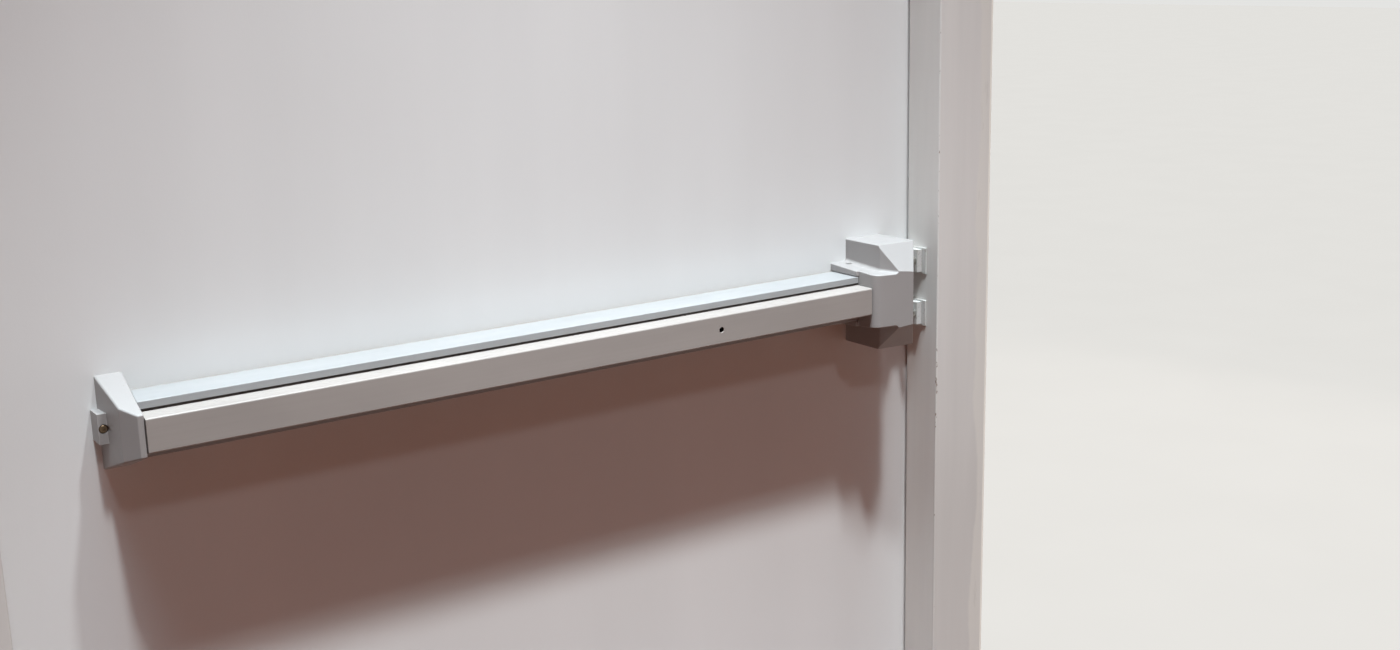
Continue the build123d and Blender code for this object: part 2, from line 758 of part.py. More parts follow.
for place, pivot_x in crank_positions.items():
    bar_stud = (pivot_x + crank_run, stud_depth)
    rod_stud = (pivot_x + crank_rise, crank_pivot_depth - crank_run)
    with BuildPart() as crank:
        with BuildSketch(plan(crank_middle)):
            with Locations((pivot_x, crank_pivot_depth)):
                Circle(2 * crank_pin_radius)
            with Locations(bar_stud, rod_stud):
                Circle(1.7 * crank_stud_radius)
            make_hull()
            with Locations((pivot_x, crank_pivot_depth)):
                Circle(crank_pin_radius + turning_fit, mode=Mode.SUBTRACT)
        extrude(amount=crank_thickness / 2, both=True)
        reach = crank_thickness / 2 + layer_gap + bracket_sheet
        with BuildSketch(plan(crank_middle)):
            with Locations(bar_stud):
                Circle(crank_stud_radius)
        extrude(amount=reach)
        with BuildSketch(plan(crank_middle)):
            with Locations(rod_stud):
                Circle(crank_stud_radius)
        extrude(amount=-reach)
    crank.part.label = f"bell_crank_{place}"
    export_step(crank.part, f"parts/bell_crank_{place}.step")

ear_low = bracket_level - bracket_sheet - layer_gap
ear_high = rod_level + rod_thickness + layer_gap
ear_spans = ((ear_low - ear_sheet, ear_low), (ear_high, ear_high + ear_sheet))
ear_half = 2.4 * crank_pin_radius
with BuildPart() as crank_bases:
    for pivot_x in crank_positions.values():
        floor_z = (device_height + ear_spans[0][0], device_height + ear_spans[1][1])
        base_x = (pivot_x - crank_base_half, pivot_x + crank_base_half)
        block(base_x, (rail_wall, rail_wall + crank_base_sheet), floor_z)
        for low, high in ear_spans:
            with BuildSketch(plan(device_height + low)):
                with Locations((pivot_x, crank_pivot_depth)):
                    Circle(ear_half)
                with Locations((pivot_x, (rail_wall + crank_pivot_depth) / 2)):
                    Rectangle(2 * ear_half, crank_pivot_depth - rail_wall)
                with Locations((pivot_x, crank_pivot_depth)):
                    Circle(crank_pin_radius + turning_fit, mode=Mode.SUBTRACT)
            extrude(amount=low - high)
crank_bases.part.label = "crank_bases"
export_step(crank_bases.part, "parts/crank_bases.step")

with BuildPart() as crank_pins:
    for pivot_x in crank_positions.values():
        low, high = ear_spans[0][0], ear_spans[1][1]
        with Locations(upward(pivot_x, crank_pivot_depth, device_height + low)):
            Cylinder(crank_pin_radius, high - low, align=HIGH)
crank_pins.part.label = "crank_pins"
export_step(crank_pins.part, "parts/crank_pins.step")

# Control rod: a flat bar along the rail, with a tab that pulls the latch bolt
rod_left = crank_positions["left"] + crank_rise - 12.0
rod_span = (device_height + rod_level, device_height + rod_level + rod_thickness)
tab_width = 5.0
tab_reach = bolt_back + 9.5
with BuildPart() as control_rod:
    block((rod_left, rod_right), (rod_depth - rod_width / 2, rod_depth + rod_width / 2), rod_span)
    block((rod_right - tab_width, rod_right), (rod_depth, tab_reach), rod_span)
    for pivot_x in crank_positions.values():
        with BuildSketch(plan(rod_span[0])):
            with Locations((pivot_x + crank_rise, rod_depth)):
                SlotCenterToCenter(2 * slot_half, 2 * slot_radius, rotation=90)
        extrude(amount=rod_thickness * 1.5, both=True, mode=Mode.SUBTRACT)
control_rod.part.label = "control_rod"
export_step(control_rod.part, "parts/control_rod.step")

# Latch bolt: it slides in the guide, and its bevel lets it ride over the strike's lip
bolt_right = head_right + bolt_reach
bolt_front = bolt_back + bolt_thickness
bore_radius = latch_spring_radius + latch_wire + 0.5
bore_end = bolt_left + 30.0
with BuildPart() as latch_bolt:
    with BuildSketch(plan(device_height)):
        with BuildLine():
            Polyline(
                (bolt_left, bolt_back),
                (bolt_right, bolt_back),
                (bolt_right, bolt_front - bolt_bevel),
                (bolt_right - bolt_bevel, bolt_front),
                (bolt_left, bolt_front),
                close=True,
            )
        make_face()
    extrude(amount=bolt_half, both=True)
    with Locations(sideways(bolt_left, bolt_centre, device_height, 1)):
        Cylinder(bore_radius, bore_end - bolt_left, align=HIGH, mode=Mode.SUBTRACT)
    tab_x = (rod_right - tab_width - slot_air, rod_right + slot_air)
    tab_z = (rod_span[0] - layer_gap, device_height + bolt_half)
    block(tab_x, (bolt_back, tab_reach + layer_gap), tab_z, Mode.SUBTRACT)
latch_bolt.part.label = "latch_bolt"
export_step(latch_bolt.part, "parts/latch_bolt.step")

guide_right = head_right - cover_wall - chassis_margin
guide_left = guide_right - guide_length
with BuildPart() as latch_guide:
    guide_half = bolt_half + bolt_fit + guide_wall
    guide_z = (device_height - guide_half, device_height + guide_half)
    block((guide_left, guide_right), (chassis_plate, bolt_front + bolt_fit + guide_wall), guide_z)
    tunnel_half = bolt_half + bolt_fit
    tunnel_z = (device_height - tunnel_half, device_height + tunnel_half)
    tunnel_depths = (bolt_back - bolt_fit, bolt_front + bolt_fit)
    block((guide_left - 1, guide_right + 1), tunnel_depths, tunnel_z, Mode.SUBTRACT)
latch_guide.part.label = "latch_guide"
export_step(latch_guide.part, "parts/latch_guide.step")

# Latch chassis: the plate under the cover, with its tongue in the rail and tabs for the cover
post_left = head_left + cover_wall + 0.2
cover_screw_x = head_left + cover_screw_inset
tab_top = shelf_half - cover_wall - 1.4
with BuildPart() as latch_chassis:
    block_x = (block_left + cover_wall + chassis_margin, guide_right)
    block(block_x, (0, chassis_plate), (device_height - chassis_half, device_height + chassis_half))
    middle_half = shelf_front_half - cover_wall - chassis_margin
    middle_z = (device_height - middle_half, device_height + middle_half)
    block((post_left, guide_right), (0, chassis_plate), middle_z)
    tongue_z = (device_height - tongue_half, device_height + tongue_half)
    block((head_left - tongue_length, block_left), (rail_wall, tongue_face), tongue_z)
    post_z = (device_height - 5, device_height + 5)
    block((post_left, post_left + spring_post), (chassis_plate, bolt_centre + 5), post_z)
    with Locations(sideways(post_left + spring_post, bolt_centre, device_height, 1)):
        Cylinder(latch_spring_radius - latch_wire - 0.4, 10.0, align=HIGH)
    for n in (-1, 1):
        tab_z = (device_height + n * tab_top, device_height + n * (tab_top - chassis_plate))
        tab_x = (cover_screw_x - 5.5, cover_screw_x + 5.5)
        block(tab_x, (chassis_plate / 2, cover_screw_depth + 7), tab_z)
        with Locations(upward(cover_screw_x, cover_screw_depth, tab_z[0])):
            Cylinder(cover_screw_radius + turning_fit, 4 * chassis_plate, mode=Mode.SUBTRACT)
        lift_z = (device_height + n * (middle_half - 1), tab_z[0])
        block(tab_x, (0, chassis_plate), lift_z)
    for x, height, depth in head_screws:
        with Locations(facing(x, depth, height)):
            Cylinder(mount_screw_radius + hole_air, 4 * chassis_plate, mode=Mode.SUBTRACT)
latch_chassis.part.label = "latch_chassis"
export_step(latch_chassis.part, "parts/latch_chassis.step")

latch_spring = coil(
    sideways(post_left + spring_post, bolt_centre, device_height, 1),
    latch_spring_radius,
    latch_wire,
    latch_spring_pitch,
    bore_end - post_left - spring_post,
)
latch_spring.label = "latch_spring"
export_step(latch_spring, "parts/latch_spring.step")

return_coils = [
    coil(
        facing(pivot_x - spring_offset, rail_wall, device_height),
        return_spring_radius,
        return_wire,
        return_spring_pitch,
        bar_inside - rail_wall,
    )
    for pivot_x in crank_positions.values()
]
with BuildPart() as return_springs:
    add(return_coils)
return_springs.part.label = "return_springs"
export_step(return_springs.part, "parts/return_springs.step")

# Latch head cover: a hollow casting, the same above and below its middle
def slope(depths, halves, up, middle=0.0, turn=0.0):
    """A plane that falls from one depth and half height to another, turned about its middle."""
    run = depths[1] - depths[0]
    fall = halves[0] - halves[1]
    place = (middle, face_y - depths[0], device_height + up * halves[0])
    return Plane(origin=place, x_dir=(1, -turn, 0), z_dir=(-turn * fall, -fall, up * run))


def cover_body(inset):
    """The cover's outer form, or with an inset the room inside it, which runs out at its back."""
    back = -2 * inset
    nose = [
        (block_left, back),
        (block_left, block_depth),
        (block_left + nose_left_in, nose_left_front),
        (head_right - nose_right_in, nose_front),
        (head_right, block_depth),
        (head_right, back),
    ]
    shoulder = [
        (head_left, back),
        (head_left, shoulder_front),
        (head_right - nose_right_in, nose_front),
        (head_right, block_depth),
        (head_right, back),
    ]
    with BuildPart() as body:
        with BuildSketch(plan(device_height)):
            with BuildLine():
                Polyline(*shoulder, close=True)
            make_face()
            if inset:
                offset(amount=-inset, kind=Kind.INTERSECTION)
        extrude(amount=shelf_half, both=True)
        turned = body.edges().filter_by(Axis.Z).sort_by(Axis.X)
        fillet([e for e in turned if e.center().Y < face_y - rail_depth][0], shoulder_corner - inset)
        if not inset:
            for n in (-1, 1):
                eave = (device_height + n * eave_low, device_height + n * shelf_half)
                block((head_left - eave_reach, head_left + cover_wall), (0, rail_depth), eave)
        for up in (-1, 1):
            shelf = slope((0, shoulder_front), (shelf_half, shelf_front_half), up)
            split(bisect_by=shelf.offset(-inset), keep=Keep.BOTTOM)
    with BuildPart() as tower:
        with BuildSketch(plan(device_height)):
            with BuildLine():
                Polyline(*nose, close=True)
            make_face()
            if inset:
                offset(amount=-inset, kind=Kind.INTERSECTION)
        extrude(amount=block_half - inset, both=True)
        turned = tower.edges().filter_by(Axis.Z).sort_by(Axis.X)
        fillet([e for e in turned if e.center().Y < face_y - rail_depth][0], nose_corner - inset)
        depths = (block_depth, (nose_front + nose_left_front) / 2)
        middle = (block_left + head_right) / 2
        for up in (-1, 1):
            brow = slope(depths, (block_half, ridge_half), up, middle, front_slope / 2)
            split(bisect_by=brow.offset(-inset), keep=Keep.BOTTOM)
    return body.part + tower.part


def on_seam(edge):
    """Whether an edge is where the cover's shelf meets the left side of its block."""
    middle = edge.center()
    depth = face_y - middle.Y
    level = shelf_half - depth * (shelf_half - shelf_front_half) / shoulder_front
    front = shoulder_front + front_slope * (middle.X - head_left)
    beside = middle.X > block_left - 0.1 and 0.1 < depth < front - 1
    return beside and abs(abs(middle.Z - device_height) - level) < 0.1


def off_leaf(body):
    """The edges of a body that don't lie on the leaf."""
    return [e for e in body.edges() if abs(e.center().Y - face_y) > 0.01]


cover_blank = cover_body(0)
cover_blank = fillet([e for e in cover_blank.edges() if on_seam(e)], shelf_corner)
cover_outside = fillet(off_leaf(cover_blank), cover_edge)
cover_inside = cover_body(cover_wall)
with BuildPart() as head_cover:
    add(cover_outside)
    add(cover_inside, mode=Mode.SUBTRACT)
    bolt_air = 2 * bolt_fit
    window_x = (head_right - 2 * cover_wall, head_right + 1)
    window_z = (device_height - bolt_half - bolt_air, device_height + bolt_half + bolt_air)
    block(window_x, (bolt_back - bolt_air, bolt_front + bolt_air), window_z, Mode.SUBTRACT)
    window_x = (head_left - 1, head_left + 2 * cover_wall)
    window_z = (device_height - tongue_half - 0.5, device_height + tongue_half + 0.5)
    block(window_x, (-1, rod_depth + rod_width / 2 + 2), window_z, Mode.SUBTRACT)
    screw_level = shelf_half - cover_screw_depth * (shelf_half - shelf_front_half) / shoulder_front
    bore_radii = (cover_screw_radius + hole_air, cover_head_radius + 5 * hole_air)
    for n in (-1, 1):
        with Locations(upward(cover_screw_x, cover_screw_depth, device_height + n * screw_level, n)):
            CounterSinkHole(*bore_radii, 2 * cover_wall, 90)
head_cover.part.label = "head_cover"
export_step(head_cover.part, "parts/head_cover.step")

cover_screw_set = [
    countersunk_screw(
        upward(cover_screw_x, cover_screw_depth, device_height + n * (screw_level - 0.3), n),
        cover_head_radius,
        cover_screw_radius,
        cover_screw_length,
    )
    for n in (-1, 1)
]
with BuildPart() as cover_screws:
    add(cover_screw_set)
cover_screws.part.label = "cover_screws"
export_step(cover_screws.part, "parts/cover_screws.step")

# End cap: a hollow casting that closes the rail on the hinge side, with a lug for its screw
def cap_body(inset):
    """The cap's outer form, or with an inset the room inside it, which runs out at its back."""
    back = -2 * inset
    outline = [
        (cap_left, back),
        (cap_left + cap_break_in, cap_break_depth),
        (cap_right - cap_front_width, cap_front),
        (cap_right, cap_front),
        (cap_right, 0) if inset else (cap_right + cap_flare, 0),
        (cap_right, back),
    ]
    with BuildPart() as body:
        with BuildSketch(plan(device_height)):
            with BuildLine():
                Polyline(*outline, close=True)
            make_face()
            if inset:
                offset(amount=-inset, kind=Kind.INTERSECTION)
        extrude(amount=cap_half, both=True)
        for up in (-1, 1):
            top = slope((0, cap_front), (cap_half, cap_front_half), up)
            split(bisect_by=top.offset(-inset), keep=Keep.BOTTOM)
    return body.part


cap_blank = cap_body(0)
cap_outside = fillet(off_leaf(cap_blank), cap_edge)
cap_inside = cap_body(cap_wall)
with BuildPart() as end_cap:
    add(cap_outside)
    lug_z = (device_height - lug_half, device_height + lug_half)
    block((lug_left, cap_left + cap_wall), (0, lug_depth), lug_z)
    add(cap_inside, mode=Mode.SUBTRACT)
    beside = half_rail + cap_air
    rail_room = (device_height - beside, device_height + beside)
    block((cap_right, cap_right + 2 * cap_flare), (-1, cap_front + 1), rail_room, Mode.SUBTRACT)
    tongue_window = (device_height - tongue_half - 0.5, device_height + tongue_half + 0.5)
    window_x = (cap_right - 2 * cap_wall, cap_right + 1)
    block(window_x, (-1, tongue_face + 0.5), tongue_window, Mode.SUBTRACT)
    with Locations(facing(lug_screw[0], lug_depth, device_height)):
        bore_radii = (mount_screw_radius + hole_air, mount_head_radius - 0.4)
        CounterBoreHole(*bore_radii, mount_head_height, 2 * lug_depth)
end_cap.part.label = "end_cap"
export_step(end_cap.part, "parts/end_cap.step")

with BuildPart() as end_bracket:
    bracket_half = cap_half - cap_wall - 5
    bracket_x_span = (cap_left + cap_wall + 1.5, cap_right - cap_wall - 0.5)
    bracket_z = (device_height - bracket_half, device_height + bracket_half)
    block(bracket_x_span, (0, chassis_plate), bracket_z)
    block((bracket_x_span[0], cap_right + tongue_length), (rail_wall, tongue_face), tongue_z)
    for x, height, depth in end_screws:
        with Locations(facing(x, depth, height)):
            Cylinder(mount_screw_radius + hole_air, 4 * chassis_plate, mode=Mode.SUBTRACT)
end_bracket.part.label = "end_bracket"
export_step(end_bracket.part, "parts/end_bracket.step")


def mounting_screws(places, head_radius, key):
    """Pan head screws at the given places, through the device into the leaf's plates."""
    screws = []
    for x, height, depth in places:
        length = mount_screw_length + depth - chassis_plate
        place = facing(x, depth, height)
        sizes = (head_radius, mount_head_height, mount_screw_radius, length, key)
        screws.append(pan_screw(place, *sizes))
    return screws


for places, head_radius, key, name in (
    (head_screws, mount_head_radius, 0, "latch_mounting_screws"),
    (end_screws, mount_head_radius, 0, "bracket_mounting_screws"),
    ([lug_screw], mount_head_radius - 0.6, lug_screw_key, "end_cap_screw"),
):
    screws = mounting_screws(places, head_radius, key)
    with BuildPart() as mounting_set:
        add(screws)
    mounting_set.part.label = name
    export_step(mounting_set.part, f"parts/{name}.step")

# Dogging: a hex key turns the screw a quarter turn and its arms hold the pressed bar down
with BuildPart() as dog_base:
    base_z = (device_height - dog_base_half, device_height + dog_base_half)
    block((key_hole_x - 9, key_hole_x + 9), (rail_wall, dog_base_height), base_z)
    with Locations(facing(key_hole_x, dog_base_height, device_height)):
        bore_length = 2 * (dog_base_height - rail_wall - 3)
        Cylinder(dog_journal_radius + turning_fit, bore_length, mode=Mode.SUBTRACT)
dog_base.part.label = "dog_base"
export_step(dog_base.part, "parts/dog_base.step")

with BuildPart() as dog_screw:
    with Locations(facing(key_hole_x, rail_wall + 3.3, device_height)):
        Cylinder(dog_journal_radius, dog_base_height - rail_wall - 3, align=HIGH)
    with Locations(facing(key_hole_x, dog_base_height + 0.3, device_height)):
        Cylinder(dog_neck_radius, dog_head_depth - dog_base_height, align=HIGH)
    with BuildSketch(facing(key_hole_x, dog_head_depth, device_height)):
        SlotOverall(2 * dog_arm, dog_arm_width)
    extrude(amount=dog_head_thickness)
    with BuildSketch(facing(key_hole_x, dog_head_depth + dog_head_thickness, device_height)):
        RegularPolygon(hex_socket / 2, 6, major_radius=False)
    extrude(amount=-hex_depth, mode=Mode.SUBTRACT)
dog_screw.part.label = "dog_screw"
export_step(dog_screw.part, "parts/dog_screw.step")

with BuildPart() as dog_plate:
    with BuildSketch(facing(key_hole_x, dog_plate_depth, device_height)):
        Rectangle(2 * dog_plate_half, 2 * half_inside)
        SlotOverall(2 * (dog_arm + dog_slot_air), dog_arm_width + 2 * dog_slot_air, mode=Mode.SUBTRACT)
    extrude(amount=dog_plate_sheet)
dog_plate.part.label = "dog_plate"
export_step(dog_plate.part, "parts/dog_plate.step")

# Strike: a shim and a cast keeper on the stop, with two ears and a lip that holds the bolt
strike_middle = device_height - strike_drop
ear_spans_z = ((strike_gap_half, strike_half), (-strike_half, -strike_gap_half))
with BuildPart() as strike_shim:
    shim_x = (stop_x - shim_plate, stop_x)
    shim_half = strike_half + shim_margin
    shim_back = strike_back - shim_margin
    block(shim_x, (shim_back, strike_waist), (strike_middle - shim_half, strike_middle + shim_half))
    for n in (-1, 1):
        plate_z = (strike_middle + n * (strike_gap_half - shim_margin), strike_middle + n * shim_half)
        block(shim_x, (shim_back, shim_front), plate_z)
    for height in strike_screw_heights:
        with Locations(sideways(stop_x, strike_screw_depth, height, 1)):
            Cylinder(mount_screw_radius + hole_air, 4 * shim_plate, mode=Mode.SUBTRACT)
strike_shim.part.label = "strike_shim"
export_step(strike_shim.part, "parts/strike_shim.step")

with BuildPart() as strike:
    foot = stop_x - shim_plate
    tip = stop_x - strike_reach
    strike_span = (strike_middle - strike_half, strike_middle + strike_half)
    block((foot - strike_base, foot), (strike_back, strike_waist), strike_span)
    for low, high in ear_spans_z:
        ear_z = (strike_middle + low, strike_middle + high)
        block((foot - strike_ear, foot), (strike_back, strike_front), ear_z)
        block((tip, foot), (strike_back, strike_lip_front), ear_z)
    block((tip, tip + strike_lip_width), (strike_back, strike_lip_front), strike_span)
    uprights = strike.edges().filter_by(Axis.Z)
    fillet([e for e in uprights if abs(e.center().X - tip) < 0.1], strike_corner)
    for height in strike_screw_heights:
        with Locations(sideways(tip, strike_screw_depth, height, -1)):
            Cylinder(mount_screw_radius + hole_air, 2 * strike_reach, mode=Mode.SUBTRACT)
strike.part.label = "strike"
export_step(strike.part, "parts/strike.step")

screw_seat = stop_x - shim_plate - strike_ear
strike_screw_length = stop_x - screw_seat + frame_sheet + strike_backing
strike_screw_sizes = (mount_head_radius, mount_head_height, mount_screw_radius, strike_screw_length)
strike_screw_set = [
    pan_screw(sideways(screw_seat, strike_screw_depth, height, -1), *strike_screw_sizes)
    for height in strike_screw_heights
]
with BuildPart() as strike_screws:
    add(strike_screw_set)
strike_screws.part.label = "strike_screws"
export_step(strike_screws.part, "parts/strike_screws.step")

with BuildPart() as strike_plate:
    plate_span = (strike_middle - strike_half - 20, strike_middle + strike_half + 20)
    plate_x = (stop_x + frame_sheet, stop_x + frame_sheet + strike_backing)
    block(plate_x, (stop_depth + frame_sheet, room_depth - frame_sheet), plate_span)
    for height in strike_screw_heights:
        with Locations(sideways(stop_x, strike_screw_depth, height, 1)):
            Cylinder(mount_screw_radius + turning_fit, 6 * strike_backing, mode=Mode.SUBTRACT)
strike_plate.part.label = "strike_plate"
export_step(strike_plate.part, "parts/strike_plate.step")

print("hinge pin", pin_x, face_y - pin_depth, "leaf face y", face_y, "stop x", stop_x)
print("bar length", round(bar_length, 1))
print("crank turn per metre", 2 * crank_half_turn / bar_travel * 1000)
print("cranks", crank_positions, "pivot y", face_y - crank_pivot_depth, "key hole x", key_hole_x)
print("rod y", face_y - rod_depth, "bolt y", face_y - bolt_centre)
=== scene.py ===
"""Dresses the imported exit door: paint, bare metal, softened castings, lamps, floor and camera."""

import json
import math

import bpy
from mathutils import Matrix, Vector

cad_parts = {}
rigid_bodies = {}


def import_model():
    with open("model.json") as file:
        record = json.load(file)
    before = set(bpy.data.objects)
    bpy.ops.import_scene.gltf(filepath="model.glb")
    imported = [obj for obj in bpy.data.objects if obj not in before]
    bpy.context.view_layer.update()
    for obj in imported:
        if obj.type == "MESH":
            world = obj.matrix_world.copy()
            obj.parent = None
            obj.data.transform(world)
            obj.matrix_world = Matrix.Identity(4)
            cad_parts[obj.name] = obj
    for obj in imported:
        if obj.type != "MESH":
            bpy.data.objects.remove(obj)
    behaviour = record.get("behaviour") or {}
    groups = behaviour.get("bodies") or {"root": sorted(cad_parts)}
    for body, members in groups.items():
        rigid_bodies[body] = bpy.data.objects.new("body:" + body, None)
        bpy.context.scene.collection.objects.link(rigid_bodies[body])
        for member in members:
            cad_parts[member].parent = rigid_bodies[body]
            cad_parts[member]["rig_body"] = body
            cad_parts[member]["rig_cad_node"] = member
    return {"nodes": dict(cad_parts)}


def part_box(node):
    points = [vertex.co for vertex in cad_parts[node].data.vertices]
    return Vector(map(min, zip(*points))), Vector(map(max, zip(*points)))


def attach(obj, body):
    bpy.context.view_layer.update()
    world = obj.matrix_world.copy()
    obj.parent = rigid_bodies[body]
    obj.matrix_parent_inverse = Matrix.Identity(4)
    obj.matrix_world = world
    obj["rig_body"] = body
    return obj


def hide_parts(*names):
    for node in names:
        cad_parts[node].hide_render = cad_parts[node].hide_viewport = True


bl_info = {
    "name": "Exit Door With Push Bar",
    "version": (1, 0, 0),
    "blender": (4, 5, 0),
    "location": "View3D > Sidebar > Exit Door",
    "description": "Paint, bare metal, softened castings, lamps and a camera for the packed exit door",
    "category": "Object",
}

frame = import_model()

# Places that the finishes refer to, in metres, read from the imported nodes
face_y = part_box("room_skin")[0].y
room_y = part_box("strike_jamb")[0].y
outside_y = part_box("strike_jamb")[1].y
outer_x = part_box("strike_jamb")[1].x
frame_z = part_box("frame_head")[1].z
frame_sheet = 0.0015
stop_height = 0.016
leaf_clearance = 0.003
stop_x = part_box("strike_shim")[1].x
stop_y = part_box("strike_plate")[1].y + frame_sheet
opening_x = stop_x + stop_height
opening_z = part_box("top_channel")[1].z + leaf_clearance
rail_start, rail_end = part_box("rail")
device_z = sum(corner.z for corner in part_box("push_bar")) / 2

# The finishes' pattern sizes are in millimetres
per_metre = 1000

# A mask reaches this far past a face that it has to cover, and stops this far short of an outer edge
past_face = 0.001
past_edge = 0.0008

# Light that comes back from the room and its floor, and what the floor shows of the lamps' light
room_light = "#593A32"
floor_thrown = "#4E291B"
floor_lit = "#4E4640"

# Colours of the lamps
cool_white = (0.92, 0.98, 1.0)
sky_blue = (0.68, 0.89, 1.0)
near_white = (1.0, 0.97, 1.0)
soft_blue = (0.86, 0.95, 1.0)


# Colours and nodes


def linear(code):
    """A hex colour as Blender's linear red, green, blue and alpha."""
    parts = [int(code[i : i + 2], 16) / 255 for i in (1, 3, 5)]
    return tuple(p / 12.92 if p <= 0.04045 else ((p + 0.055) / 1.055) ** 2.4 for p in parts) + (1.0,)


def shaded(colour, share):
    """A colour made darker, or lighter with a share above 1."""
    return tuple(min(1.0, c * share) for c in colour[:3]) + (1.0,)


def add_node(tree, kind, inputs=(), output=0, **settings):
    """Adds a node with its settings. An input is a value or another node's output. Gives one output."""
    node = tree.nodes.new("ShaderNode" + kind)
    for name, value in settings.items():
        setattr(node, name, value)
    for name, value in inputs.items() if isinstance(inputs, dict) else enumerate(inputs):
        if isinstance(value, bpy.types.NodeSocket):
            tree.links.new(value, node.inputs[name])
        else:
            node.inputs[name].default_value = value
    return node.outputs[output] if node.outputs else node


def along(tree, axis):
    """How far along X, Y or Z the point on the piece lies, in metres."""
    point = add_node(tree, "TexCoord", output="Object")
    return add_node(tree, "SeparateXYZ", {"Vector": point}, axis)


def stretched(tree, size):
    """The point on the piece, counted in patches of a size in millimetres, one or one for each axis."""
    widths = size if isinstance(size, tuple) else (size, size, size)
    point = add_node(tree, "TexCoord", output="Object")
    counts = tuple(per_metre / width for width in widths)
    return add_node(tree, "Mapping", {"Vector": point, "Scale": counts})


def patches(tree, size, detail=2.0, roughness=0.5):
    """Soft random patches of a size in millimetres, from 0 to 1."""
    values = {"Vector": stretched(tree, size), "Scale": 1.0, "Detail": detail, "Roughness": roughness}
    return add_node(tree, "TexNoise", values)


def where_all(tree, *masks):
    """Where every mask is 1; a mask that is a number weakens the rest."""
    shared = masks[0]
    for mask in masks[1:]:
        shared = add_node(tree, "Math", (shared, mask), operation="MULTIPLY")
    return shared


def sharp_edges(tree, radius):
    """Where the surface turns sharply within a radius: 1 on an edge and 0 on a flat."""
    slight_turn, full_turn = 0.02, 0.3
    rounded = add_node(tree, "Bevel", {"Radius": radius}, samples=4)
    true = add_node(tree, "NewGeometry", output="Normal")
    alike = add_node(tree, "VectorMath", (rounded, true), "Value", operation="DOT_PRODUCT")
    turned = add_node(tree, "Math", (1.0, alike), operation="SUBTRACT")
    return add_node(tree, "MapRange", (turned, slight_turn, full_turn))


def coats(tree, first, *others):
    """Colours laid one over another. Each later one is given with the mask that it covers."""
    colour = first
    for mask, over in others:
        colour = add_node(tree, "Mix", {0: mask, 6: colour, 7: over}, 2, data_type="RGBA")
    return colour


def relief(tree, *layers):
    """Bumps laid one over another, each given as its height, its strength and its depth in metres."""
    normal = None
    for height, strength, depth in layers:
        values = {"Height": height, "Strength": strength, "Distance": depth}
        if normal:
            values["Normal"] = normal
        normal = add_node(tree, "Bump", values)
    return normal


def start_material(name):
    """An empty node material."""
    material = bpy.data.materials.new(name)
    material.use_nodes = True
    material.node_tree.nodes.clear()
    return material, material.node_tree


def finish_material(tree, **sockets):
    """The shader and output; a socket is given as a value or as another node's output."""
    values = {name.replace("_", " "): value for name, value in sockets.items()}
    shader = add_node(tree, "BsdfPrincipled", values)
    add_node(tree, "OutputMaterial", {"Surface": shader})


# Sizes and colours that a user would change


